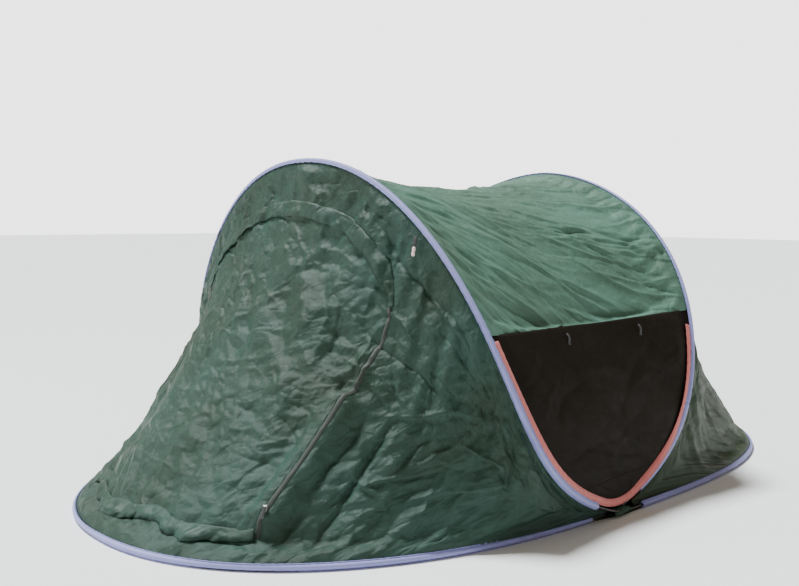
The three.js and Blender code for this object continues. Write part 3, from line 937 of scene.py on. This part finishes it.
def make_roof():
    """The roof between the arches, drawn into long slanting folds from the front arch down to the rear."""
    first = SEAM_SHARE / 2
    panel = Panel("front_arch", "rear_arch", first, 1 - first, 130, 70, EDGE_TUCK, ROOF_SAG)
    panel.settle(0.012, 0.02)
    panel.refine(400, 220)
    rng = np.random.default_rng(11)
    u, v = panel.along, panel.across
    mirrored = np.abs(u)
    slant = folds(
        mirrored, v, rng, 120, (0.25, 0.8), (0.007, 0.014), (0.003, 0.0075), math.radians(52), 0.14, 0.08,
    )
    small = folds(
        mirrored, v, rng, 260, (0.06, 0.25), (0.004, 0.008), (0.001, 0.0032), math.radians(48), 0.35,
    )
    flats = crumple(mirrored, v, rng, 0.075, 0.10, 2.2, math.radians(52))
    panel.push(slant + small + flats + swell(u, v, rng, 9, (0.18, 0.5), 0.003), edge=0.02)
    piece = panel.mesh("roof_cloth", roof_green_painted_lit)
    keep_shares(piece, "share", 1 - panel.share)
    return piece


def make_side_panel(side):
    """The dark side panel under the roof's seam, between the arches' legs."""
    first, last = SIDE_FIRST, SEAM_SHARE / 2
    if side == "left":
        first, last = 1 - last, 1 - first
    panel = Panel("front_arch", "rear_arch", first, last, 90, 90, SIDE_TUCK, SIDE_SAG)
    rng = np.random.default_rng(23 if side == "right" else 24)
    u, v = panel.along, panel.across
    soft = folds(u, v, rng, 40, (0.12, 0.4), (0.008, 0.02), (0.001, 0.004), math.radians(80), 0.5)
    inner = panel.inner(0.07)
    soft = soft + swell(u, v, rng, 8, (0.15, 0.4), 0.003)
    panel.push(soft * inner - SIDE_DIP * (1 - inner), edge=0.006)
    piece = panel.mesh(f"side_cloth_{side}", dark_cloth)
    keep_shares(piece, "share", 1 - panel.share)
    return piece


def make_rear_wall():
    """The rear wall, from the rear floor loop up to the rear arch."""
    first = WALL_FIRST / 2
    panel = Panel("rear_floor", "rear_arch", first, 1 - first, 220, 90, EDGE_TUCK, REAR_SAG)
    panel.settle(0.015, 0.02)
    panel.refine(440, 180)
    rng = np.random.default_rng(31)
    u, v = panel.along, panel.across
    flats = crumple(u, v, rng, 0.10, 0.16, 1.8, math.radians(80)) + crumple(u, v, rng, 0.045, 0.12)
    small = folds(u, v, rng, 260, (0.05, 0.25), (0.004, 0.009), (0.001, 0.003), 0, 1.5)
    long = folds(u, v, rng, 46, (0.3, 0.8), (0.008, 0.016), (0.002, 0.006), math.radians(90), 0.4)
    panel.push(flats + small + long + swell(u, v, rng, 9, (0.2, 0.6), 0.004))
    piece = panel.mesh("rear_wall_cloth", rear_green_painted_shade)
    keep_shares(piece, "share", panel.swing)
    return piece


# ---------------------------------------------------------------- front wall and door

DOOR_HALF = 0.370
DOOR_SHOULDER = 0.410
DOOR_SILL = 0.060
DOOR_SPRING = 0.520
DOOR_TOP = 0.800


def doorway(outset=0.0, count=400):
    """The doorway's outline across and up, from its left foot over the top to its right foot, and its
    length so far at each point."""
    foot, shoulder = DOOR_HALF + outset, DOOR_SHOULDER + outset
    rise = DOOR_TOP - DOOR_SPRING + outset
    turn = np.linspace(math.pi, 0, 160)
    arch = np.column_stack([shoulder * np.cos(turn), DOOR_SPRING + rise * np.sin(turn)])
    left = np.column_stack([
        np.linspace(-foot, -shoulder, 40, endpoint=False),
        np.linspace(DOOR_SILL - outset, DOOR_SPRING, 40, endpoint=False),
    ])
    right = (left * [-1, 1])[::-1]
    outline = np.concatenate([left, arch, right])
    return evenly(outline, count)


def doorway_depth(x, z):
    """How far inside the doorway a point of the front wall is; negative outside."""
    half = DOOR_HALF + (DOOR_SHOULDER - DOOR_HALF) * np.clip(
        (z - DOOR_SILL) / (DOOR_SPRING - DOOR_SILL), 0, 1,
    )
    rise = DOOR_TOP - DOOR_SPRING
    arch = np.hypot(x / DOOR_SHOULDER, np.maximum(z - DOOR_SPRING, 0) / rise)
    above = (1 - arch) * rise
    beside = half - np.abs(x)
    return np.where(z > DOOR_SPRING, above, np.minimum(beside, z - DOOR_SILL))


ZIP_WAY = (0.0646, 0.6658, 0.7434)
ZIP_RUN = 0.30
ZIP_FLAT = 0.018
ZIP_LOOSE = 0.060

# The long folds of the wall right of the door: start and end along and up the cloth, width and height,
# all in metres
WALL_FOLDS = [
    ((-0.498, 0.400), (-0.463, 0.165), 0.016, -0.012), ((-0.555, 0.395), (-0.545, 0.150), 0.018, -0.014),
    ((-0.554, 0.240), (-0.550, 0.050), 0.012, -0.009), ((-0.474, 0.180), (-0.466, 0.040), 0.012, -0.008),
    ((-0.645, 0.330), (-0.612, 0.215), 0.012, -0.009), ((-0.500, 0.398), (-0.820, 0.345), 0.010, 0.006),
    ((-0.804, 0.350), (-0.655, 0.235), 0.009, 0.007), ((-0.704, 0.290), (-0.870, 0.190), 0.009, 0.006),
    ((-0.520, 0.400), (-0.435, 0.500), 0.010, -0.007), ((-0.560, 0.380), (-0.490, 0.520), 0.010, -0.006),
    ((-0.620, 0.360), (-0.600, 0.520), 0.009, 0.005), ((-0.520, 0.250), (-0.680, 0.120), 0.010, 0.006),
    ((-0.540, 0.200), (-0.700, 0.230), 0.008, 0.005), ((-0.680, 0.160), (-0.900, 0.150), 0.008, 0.004),
    ((-0.395, 0.560), (-0.385, 0.330), 0.012, -0.009), ((-0.390, 0.400), (-0.400, 0.170), 0.012, -0.010),
    ((-0.420, 0.640), (-0.385, 0.480), 0.010, 0.008), ((-0.430, 0.540), (-0.400, 0.370), 0.008, 0.007),
]


def near_zip(points):
    """1 along the slider's way up the zip, where the cloth is held flat, and 0 away from it."""
    low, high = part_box("zip_slider")
    start = np.array((low + high) / 2)
    way = np.array(ZIP_WAY) * ZIP_RUN
    along = np.clip(np.sum((points - start) * way, axis=-1, keepdims=True) / ZIP_RUN ** 2, 0, 1)
    return smooth(ZIP_LOOSE, ZIP_FLAT, np.linalg.norm(points - start - along * way, axis=-1))


def make_front_sheet():
    """The whole front, from the front floor loop up to the front arch, before the door is cut from it."""
    first = WALL_FIRST / 2
    panel = Panel("front_floor", "front_arch", first, 1 - first, 260, 120, EDGE_TUCK, FRONT_SAG)
    flat = panel.points.copy()
    panel.settle(0.02, 0.025)
    held = near_zip(flat)[..., None]
    panel.points = panel.points * (1 - held) + flat * held
    panel.refine(600, 280)
    rng = np.random.default_rng(47)
    u, v = panel.along, panel.across
    on_door = 1 - smooth(0.36, 0.46, np.abs(u))
    low_right = smooth(0.55, 0.35, v)
    rough = np.clip(0.5 + 0.5 * on_door + 0.4 * low_right, 0, 1)

    def taut(place_u, place_v):
        """Drawn folds belong beside the door and above it, under the arch."""
        return smooth(0.30, 0.45, abs(place_u)) * smooth(0.35, 0.60, place_v)

    def loose(place_u, _):
        """The door hangs looser than the wall."""
        return 0.45 + 0.55 * (1 - smooth(0.36, 0.48, abs(place_u)))

    flats = rough * (
        crumple(u, v, rng, 0.095, 0.30, 1.9, math.radians(70)) + crumple(u, v, rng, 0.042, 0.30, 1.6)
    )
    small = folds(
        u, v, rng, 900, (0.05, 0.22), (0.0035, 0.007), (0.0018, 0.0048), 0, 1.5, strength=loose,
    )
    side = np.abs(u)
    drawn = folds(
        side, v, rng, 150, (0.20, 0.60), (0.005, 0.009), (0.004, 0.008), math.radians(137), 0.08, 0.06,
        taut,
    )
    big = folds(
        u, v, rng, 26, (0.2, 0.45), (0.010, 0.018), (0.004, 0.009), math.radians(80), 0.5, 0.15, loose,
    )
    placed = sum(
        crease(u, v, start, end, width, 1.3 * height, 0.06, 2.0 * k, 3.2)
        for k, (start, end, width, height) in enumerate(WALL_FOLDS)
    )
    crumpled = flats + small + drawn + big + placed + swell(u, v, rng, 10, (0.15, 0.5), 0.004)
    panel.push(crumpled * (1 - 0.85 * near_zip(panel.points)))
    return panel


def split_front(panel):
    """Cuts the front into the wall and the door, along the grid lines nearest the doorway's outline."""
    points = panel.points.reshape(-1, 3)
    depth = doorway_depth(points[:, 0], points[:, 2])
    faces = grid_faces(panel.columns, panel.rows)
    inside = depth[faces].mean(axis=1) > 0
    uvs = np.stack([panel.along, panel.across], axis=-1).reshape(-1, 2)
    shares = panel.swing.ravel()
    made = {}
    for name, chosen in (("door_cloth", inside), ("front_wall_cloth", ~inside)):
        used = np.unique(faces[chosen])
        number = np.full(len(points), -1)
        number[used] = np.arange(len(used))
        piece = add_mesh(name, points[used], number[faces[chosen]], wall_green, uvs[used])
        face_out(piece, CABIN_MIDDLE)
        keep_shares(piece, "share", shares[used])
        made[name] = piece
    return made["front_wall_cloth"], made["door_cloth"]


def front_tree(panel):
    points = [Vector(p) for p in panel.points.reshape(-1, 3)]
    faces = [tuple(int(k) for k in f) for f in grid_faces(panel.columns, panel.rows)]
    return BVHTree.FromPolygons(points, faces)


def on_front(tree, panel, x, z):
    """The point of the front above (x, z) seen from the front, the way out of it, and its bend share."""
    hit, normal, face, _ = tree.ray_cast(Vector((x, -3, z)), Vector((0, 1, 0)))
    if hit is None:
        hit, normal, face, _ = tree.find_nearest(Vector((x, -1, z)))
    if normal.y > 0:
        normal = -normal
    column, row = divmod(face, panel.rows - 1)
    return np.array(hit), np.array(normal), panel.swing[column, row]


ZIP_OUTSET = 0.0045
ZIP_LIFTS = [0.0006, 0.0012, 0.0016, 0.0012, 0.0006]
FLAP_OUTSET = 0.006
FLAP_FOOT = DOOR_SPRING + 0.04
FLAP_TAPER = 0.14
FLAP_LIFTS = [0.0055, 0.0062, 0.0066, 0.0066, 0.006, 0.0052, 0.004, 0.0026, 0.001]
HEM_LIFTS = [0.002, 0.0075, 0.0085, 0.0075, 0.006, 0.0035, 0.001]


def front_strip(name, tree, panel, line, runs, offsets, lifts, material, waver=0.0, seed=1, taper=0.0):
    """A strip of tape or cloth along a line drawn on the front: offsets across it, lifted off it."""
    ahead = np.gradient(line, axis=0)
    side = unit(np.column_stack([-ahead[:, 1], ahead[:, 0]]))
    rng = np.random.default_rng(seed)
    wave = waves(runs, rng, 20, 90, 4) * waver
    from_end = np.minimum(runs - runs[0], runs[-1] - runs)
    fullness = 0.3 + 0.7 * smooth(0, taper, from_end) if taper else np.ones(len(runs))
    points, shares, uvs = [], [], []
    for k, (place, way) in enumerate(zip(line, side)):
        for j, (offset, lift) in enumerate(zip(offsets, lifts)):
            weight = abs(j / (len(offsets) - 1) - 0.5) * 2
            x, z = place + way * offset * fullness[k]
            hit, normal, share = on_front(tree, panel, x, z)
            points.append(hit + normal * (lift + wave[k] * (0.3 + 0.7 * weight)))
            shares.append(share)
            uvs.append((runs[k], offset))
    piece = add_mesh(name, points, grid_faces(len(line), len(offsets)), material, uvs)
    face_out(piece, CABIN_MIDDLE)
    keep_shares(piece, "share", shares)
    return piece


def make_front():
    """The front wall, the door in its doorway, the zip, the storm flap and the door's hem."""
    panel = make_front_sheet()
    tree = front_tree(panel)
    wall, door = split_front(panel)

    line, runs = doorway(ZIP_OUTSET, 520)
    tape = front_strip(
        "zip_tape_strip", tree, panel, line, runs, np.linspace(-0.005, 0.005, 5), ZIP_LIFTS, zip_tape,
    )
    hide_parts("door_zip_tape")

    flap_line, flap_runs = doorway(FLAP_OUTSET, 640)
    over = flap_line[:, 1] > FLAP_FOOT
    flap = front_strip(
        "storm_flap_cloth", tree, panel, flap_line[over], flap_runs[over],
        np.linspace(-0.020, 0.024, 9), FLAP_LIFTS, wall_green, waver=0.0009, seed=5, taper=FLAP_TAPER,
    )
    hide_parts("door_storm_flap")

    foot = np.column_stack([np.linspace(-DOOR_HALF, DOOR_HALF, 220), np.full(220, DOOR_SILL + 0.004)])
    hem_runs = foot[:, 0] + DOOR_HALF
    foot[:, 1] += 0.006 * np.sin(hem_runs * 17) + 0.003 * np.sin(hem_runs * 41 + 1)
    hem = front_strip(
        "door_hem", tree, panel, foot, hem_runs, np.linspace(-0.016, 0.014, 7), HEM_LIFTS, wall_green,
        waver=0.0014, seed=6,
    )

    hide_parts("front_wall")
    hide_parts("door_panel")
    for piece in (wall, door, tape, flap, hem):
        thicken(piece, CLOTH_THICKNESS)
    for piece in (wall, tape, flap):
        bend(piece, "front_arch", "front_floor", 1 - shares_of(piece, "share"))
    for piece in (door, hem):
        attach(piece, "door")
        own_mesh(piece)


def mesh_area(piece):
    return float(sum(p.area for p in piece.data.polygons))


make_front()

# ---------------------------------------------------------------- roof, sides and rear


def hang(piece, replaced, slot, bodies, tapes, flat, area, **more):
    """Finishes a panel: its thickness, its baked transform and its hidden CAD node; the slot and the sheet are
    not used.
    """
    thicken(piece, CLOTH_THICKNESS)
    bend(piece, *bodies, shares_of(piece, "share"))
    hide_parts(replaced)


def make_panels():
    """The roof, the two side panels and the rear wall."""
    arch_tapes = ["front_arch_tape", "rear_arch_tape"]
    arches = ("rear_arch", "front_arch")
    roof = make_roof()
    hang(roof, "roof_panel", "green_cloth", arches, arch_tapes, (1.75, 1.05), mesh_area(roof))
    for side in ("right", "left"):
        piece = make_side_panel(side)
        area = mesh_area(piece)
        low = part_below_knees(piece, "side_cloth", side)
        for part in low:
            thicken(part, CLOTH_THICKNESS)
        hang(
            piece, f"side_panel_{side}", "dark_cloth", arches, arch_tapes, (0.98, 0.66), area,
            with_pieces=low,
        )
    rear = make_rear_wall()
    rear_tapes = ["rear_floor_tape", "rear_arch_tape"]
    bodies = ("rear_floor", "rear_arch")
    hang(rear, "rear_wall", "green_cloth", bodies, rear_tapes, (2.6, 1.3), mesh_area(rear))


make_panels()

# ---------------------------------------------------------------- bindings of the side panels

BINDING_INSET = 0.0175
BINDING_TOPS = {"front_arch": 0.700, "rear_arch": 0.687}
BINDING_LOW = 0.085
BINDING_PUCKER = 0.0002
BINDING_LEAN = 0.09


def binding_path(side):
    """Down beside the front arch, under the side panel and up beside the rear arch."""
    rows = []
    for name, other, order in (("front_arch", "rear_arch", -1), ("rear_arch", "front_arch", 1)):
        hoop = hoops[name]
        near = np.linspace(BINDING_LOW, BINDING_TOPS[name], 150)[::order]
        arcs = near if side == "right" else hoop.length - near
        shares = np.interp(arcs, hoop.arc_of(SHARES), SHARES)
        points = hoop.at(arcs)
        facing = hoops[other].at(hoops[other].arc_of(shares)) - points
        rows.append(points + BINDING_INSET * square_to(facing, hoop.tangent(arcs)))
    down, up = rows
    halfway = (down[-1] + up[0]) / 2
    middle = halfway.copy()
    middle[2] = RING_HEIGHT + 0.030
    t = np.linspace(0, 1, 30)[1:-1, None]
    turn = (1 - t) ** 2 * down[-1] + 2 * t * (1 - t) * (2 * middle - halfway) + t * t * up[0]
    path = np.concatenate([down, turn, up])
    for _ in range(6):
        even_out(path)
    return evenly(path, 360)


# Section of the binding, millimetres across and out
BINDING_SECTION = [
    (-10.0, -0.9), (-10.2, 0.0), (-9.6, 0.9), (-7.4, 1.0), (-6.5, 0.6), (-5.6, 1.2), (-2.5, 1.7), (0, 1.8),
    (2.5, 1.7), (5.6, 1.2), (6.5, 0.6), (7.4, 1.0), (9.6, 0.9), (10.2, 0.0), (10.0, -0.9), (0, -1.2),
]


def make_binding(side):
    """The pink folded tape round the side panel's edge, stitched along both edges."""
    points, arcs = binding_path(side)
    tangents = unit(np.gradient(points, axis=0))
    outward = np.array([1.0 if side == "right" else -1.0, 0, 0.25])
    out = square_to(np.broadcast_to(outward, points.shape), tangents)
    across = np.cross(out, tangents)
    rng = np.random.default_rng(61 if side == "right" else 62)
    pucker = waves(arcs, rng, 150, 380, 4) * BINDING_PUCKER
    across, out = turned(across, out, waves(arcs, rng, 5, 22, 3) * BINDING_LEAN)
    section = puckered(BINDING_SECTION, pucker)
    piece = sweep(f"binding_tape_{side}", points, across, out, section, pink_tape, arcs)
    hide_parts(f"side_binding_{side}")
    low = part_below_knees(piece, "binding", side)
    made = points_of(piece)
    to_front = nearest_distance(made, hoops["front_arch"].points)
    to_rear = nearest_distance(made, hoops["rear_arch"].points)
    bend(piece, "rear_arch", "front_arch", smooth(0.05, 0.95, to_rear / (to_front + to_rear)))


def nearest_distance(points, line):
    sparse = line[::12]
    return np.array([np.min(np.linalg.norm(sparse - p, axis=1)) for p in points])


for side_name in ("right", "left"):
    make_binding(side_name)

# ---------------------------------------------------------------- groundsheet


GROUND_LIFT = 0.0022
GROUND_CREASE = 0.006
GROUND_THICKNESS = 0.0012


def make_ground(end):
    """A half of the groundsheet: coated cloth lying on the floor, with a few low creases."""
    low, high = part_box(f"groundsheet_{end}")
    name = f"{end}_floor"
    columns, rows = 150, 70
    hoop = hoops[name]
    rim = hoop.at(hoop.arc_of(np.linspace(0, 1, columns)))[:, :2]
    seam_y = high.y if end == "front" else low.y
    if end == "front":
        rim = rim[rim[:, 1] < seam_y - 0.001]
    seam_x = np.linspace(1, -1, len(rim)) * seam_half(seam_y)
    seam = np.column_stack([seam_x, np.full(len(rim), seam_y)])
    across = np.linspace(0, 1, rows)[None, :, None]
    plan = seam[:, None] * (1 - across) + rim[:, None] * across
    rng = np.random.default_rng(71 if end == "front" else 72)
    x, y = plan[..., 0], plan[..., 1]
    lift = np.abs(folds(x, y, rng, 120, (0.1, 0.5), (0.006, 0.016), (0.0006, 0.003), 0, 1.5))
    height = GROUND_LIFT + np.minimum(lift, GROUND_CREASE)
    points = np.concatenate([plan, height[..., None]], axis=-1)
    piece = add_mesh(
        f"ground_cloth_{end}", points.reshape(-1, 3), grid_faces(len(rim), rows), ground_cloth,
        plan.reshape(-1, 2),
    )
    face_out(piece, (0, seam_y, -5))
    thicken(piece, GROUND_THICKNESS)
    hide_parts(f"groundsheet_{end}")
    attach(piece, name)


def seam_half(y):
    """Half the width of the front floor loop where it passes a given y."""
    right_leg = hoops["front_floor"].points[:2500]
    return float(np.interp(-y, -right_leg[:, 1], right_leg[:, 0]))


make_ground("front")
make_ground("rear")

# ---------------------------------------------------------------- crossing tabs, ties, loops, zip slider, toggle


TAB_HALF_WIDTH = 0.0175
TAB_HALF_HEIGHT = 0.0085


def make_crossing_tab(side):
    """A scrap of wall cloth folded round the crossing of the rings and sewn to itself."""
    low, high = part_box(f"crossing_tab_{side}")
    centre = np.array((low + high) / 2)
    length = high.y - low.y
    count, rings = 36, 26
    turn = np.linspace(0, 2 * math.pi, count, endpoint=False)
    rng = np.random.default_rng(81 if side == "right" else 82)
    t = np.linspace(-1, 1, rings)
    half_width = TAB_HALF_WIDTH * (1 + 0.10 * np.cos(3 * t + 1))
    half_height = TAB_HALF_HEIGHT * (1 - 0.25 * t * t)
    t = t[:, None]
    wrinkle = 1 + 0.05 * np.sin(5 * turn + 6 * t) + 0.04 * np.sin(9 * turn - 9 * t)
    wrinkle = wrinkle + rng.normal(size=(rings, count)) * 0.012
    x = centre[0] + half_width[:, None] * np.cos(turn) * wrinkle
    z = centre[2] + half_height[:, None] * np.sin(turn) * wrinkle
    y = centre[1] + np.broadcast_to(t * length / 2, x.shape) + 0.002 * np.sin(3 * turn) * t
    points = np.stack([x, y, np.maximum(z, 0.0012)], axis=-1).reshape(-1, 3)
    uvs = np.stack([y, np.broadcast_to(turn[None] * 0.012, y.shape)], axis=-1).reshape(-1, 2)
    piece = add_mesh(f"crossing_cloth_{side}", points, tube_faces(rings, count), tab_green, uvs)
    fix_normals(piece)
    thicken(piece, CLOTH_THICKNESS)
    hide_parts(f"crossing_tab_{side}")
    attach(piece, "rear_floor")


def ribbon(name, path, width_way, width, thickness, material):
    """A short length of webbing along a path, with rounded edges."""
    path = np.asarray(path, float)
    tangents = unit(np.gradient(path, axis=0))
    across = square_to(np.broadcast_to(np.asarray(width_way, float), path.shape), tangents)
    out = np.cross(tangents, across)
    half, deep = width / 2, thickness / 2
    section = np.array([
        (-half, 0), (-half * 0.92, deep), (-half * 0.5, deep * 1.15), (0, deep), (half * 0.5, deep * 1.15),
        (half * 0.92, deep), (half, 0), (half * 0.92, -deep), (0, -deep), (-half * 0.92, -deep),
    ])
    return sweep(name, path, across, out, section, material, run_of(path))


def node_frame(name):
    """Centre of a small flat CAD piece, its long way, its wide way and its thin way."""
    points = points_of(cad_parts[name])
    centre = points.mean(0)
    _, _, axes = np.linalg.svd(points - centre, full_matrices=False)
    long_way = axes[0] * np.sign(axes[0][2])
    thin_way = axes[2]
    if np.dot(thin_way, centre - CABIN_MIDDLE) < 0:
        thin_way = -thin_way
    return centre, long_way, np.cross(long_way, thin_way), thin_way


# Each cover tie's share between the rear arch and the front arch, handed to bend
TIE_SHARES = {"front": 0.66, "rear": 0.28}
TIE_WIDTH = 0.008
TIE_THICKNESS = 0.0013
LOOP_RADIUS = 0.0115
LOOP_WIDTH = 0.009
LOOP_THICKNESS = 0.0010


def make_small_parts():
    """The cover ties under the roof's seams and the tie-back loops, then the toggle and the slider."""
    for end in ("front", "rear"):
        for side in ("right", "left"):
            name = f"cover_tie_{end}_{side}"
            centre, long_way, wide_way, thin_way = node_frame(name)
            t = np.linspace(0, 1, 40)[:, None]
            swing = np.sin(math.pi * t) * 0.0042 + 0.001
            path = centre + long_way * (0.015 - 0.031 * t) + thin_way * swing * np.cos(2.2 * t)
            path = path + wide_way * 0.003 * np.sin(3 * t)
            piece = ribbon(f"{name}_strap", path, wide_way, TIE_WIDTH, TIE_THICKNESS, webbing)
            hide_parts(name)
            bend(piece, "rear_arch", "front_arch", np.full(len(piece.data.vertices), TIE_SHARES[end]))
    for side in ("right", "left"):
        name = f"tieback_loop_{side}"
        centre, long_way, wide_way, thin_way = node_frame(name)
        turn = np.linspace(0, 2 * math.pi * 0.97, 56)[:, None]
        path = centre + long_way * (LOOP_RADIUS * np.cos(turn)) + thin_way * 0.0016 * (1 + np.sin(turn))
        piece = ribbon(f"{name}_tape", path, wide_way, LOOP_WIDTH, LOOP_THICKNESS, webbing)
        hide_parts(name)
        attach(piece, "front_arch")
    make_toggle()
    make_slider()


def lathe(name, profile, centre, axis, material, sides=28):
    """A turned shape: profile holds (distance along the axis, radius)."""
    axis = unit(np.asarray(axis, float))
    aside = unit(np.cross(axis, [0.3, 0.5, 0.8]))
    other = np.cross(axis, aside)
    turn = np.linspace(0, 2 * math.pi, sides, endpoint=False)
    ring = np.cos(turn)[:, None] * aside + np.sin(turn)[:, None] * other
    points = [centre + axis * along + ring * radius for along, radius in profile]
    faces = tube_faces(len(profile), sides) + end_faces(len(profile), sides)
    piece = add_mesh(name, np.concatenate(points), faces, material)
    fix_normals(piece)
    return piece


def make_toggle():
    """The moulded toggle of the right tie-back: a waisted barrel, grooved round its middle."""
    centre, long_way, _, _ = node_frame("tieback_toggle")
    profile = [
        (-0.0120, 0.0012), (-0.0118, 0.0024), (-0.0108, 0.0036), (-0.0092, 0.0044), (-0.0060, 0.0046),
        (-0.0030, 0.0042), (-0.0016, 0.0040), (-0.0012, 0.0031), (0.0012, 0.0031), (0.0016, 0.0040),
        (0.0030, 0.0042), (0.0060, 0.0046), (0.0092, 0.0044), (0.0108, 0.0036), (0.0118, 0.0024),
        (0.0120, 0.0012),
    ]
    piece = lathe("tieback_toggle_barrel", profile, centre, long_way, toggle_plastic)
    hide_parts("tieback_toggle")
    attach(piece, "tieback_toggle")


def rounded_block(name, centre, axes, size, bevel, material):
    """A bevelled block of a given size along three axes."""
    made = bmesh.new()
    bmesh.ops.create_cube(made, size=1)
    bmesh.ops.scale(made, vec=size, verts=made.verts)
    bmesh.ops.bevel(
        made, geom=made.edges[:] + made.verts[:], offset=bevel, segments=4, profile=0.6, affect="EDGES",
    )
    turn = Matrix([tuple(a) for a in axes]).transposed().to_4x4()
    bmesh.ops.transform(made, matrix=Matrix.Translation(Vector(centre)) @ turn, verts=made.verts)
    mesh = bpy.data.meshes.new(name)
    made.to_mesh(mesh)
    made.free()
    mesh.materials.append(material)
    mesh.polygons.foreach_set("use_smooth", np.ones(len(mesh.polygons), bool))
    piece = bpy.data.objects.new(name, mesh)
    bpy.context.scene.collection.objects.link(piece)
    fix_normals(piece)
    return piece


SLIDER_SIZE = (0.0105, 0.0155, 0.0040)
SLIDER_BEVEL = 0.0014


def make_slider():
    """The zip's slider, with its bridge, and the webbing pull that swings on it."""
    centre, long_way, wide_way, thin_way = node_frame("zip_slider")
    axes = (wide_way, long_way, thin_way)
    low_centre = centre - thin_way * 0.0009
    body = rounded_block("zip_slider_body", low_centre, axes, SLIDER_SIZE, SLIDER_BEVEL, plated_steel)
    t = np.linspace(0, math.pi, 22)[:, None]
    arch = centre + long_way * 0.0055 * np.cos(t) + thin_way * (0.0008 + 0.0021 * np.sin(t))
    bridge = ribbon("zip_slider_bridge", arch, wide_way, 0.0032, 0.0010, plated_steel)
    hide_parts("zip_slider")
    for piece in (body, bridge):
        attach(piece, "zip_slider")
    centre, long_way, wide_way, thin_way = node_frame("zip_pull")
    t = np.linspace(0, 1, 40)[:, None]
    path = centre + long_way * (0.0145 - 0.029 * t) + thin_way * 0.0006 * np.sin(5 * t)
    pull = ribbon("zip_pull_tab", path, wide_way, 0.0078, 0.0017, webbing)
    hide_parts("zip_pull")
    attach(pull, "zip_pull")


for side_name in ("right", "left"):
    make_crossing_tab(side_name)
make_small_parts()

for ferrule in ("front_ring_ferrule", "rear_ring_ferrule"):
    ferrule_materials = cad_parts[ferrule].data.materials
    ferrule_materials.clear()
    ferrule_materials.append(plated_steel)
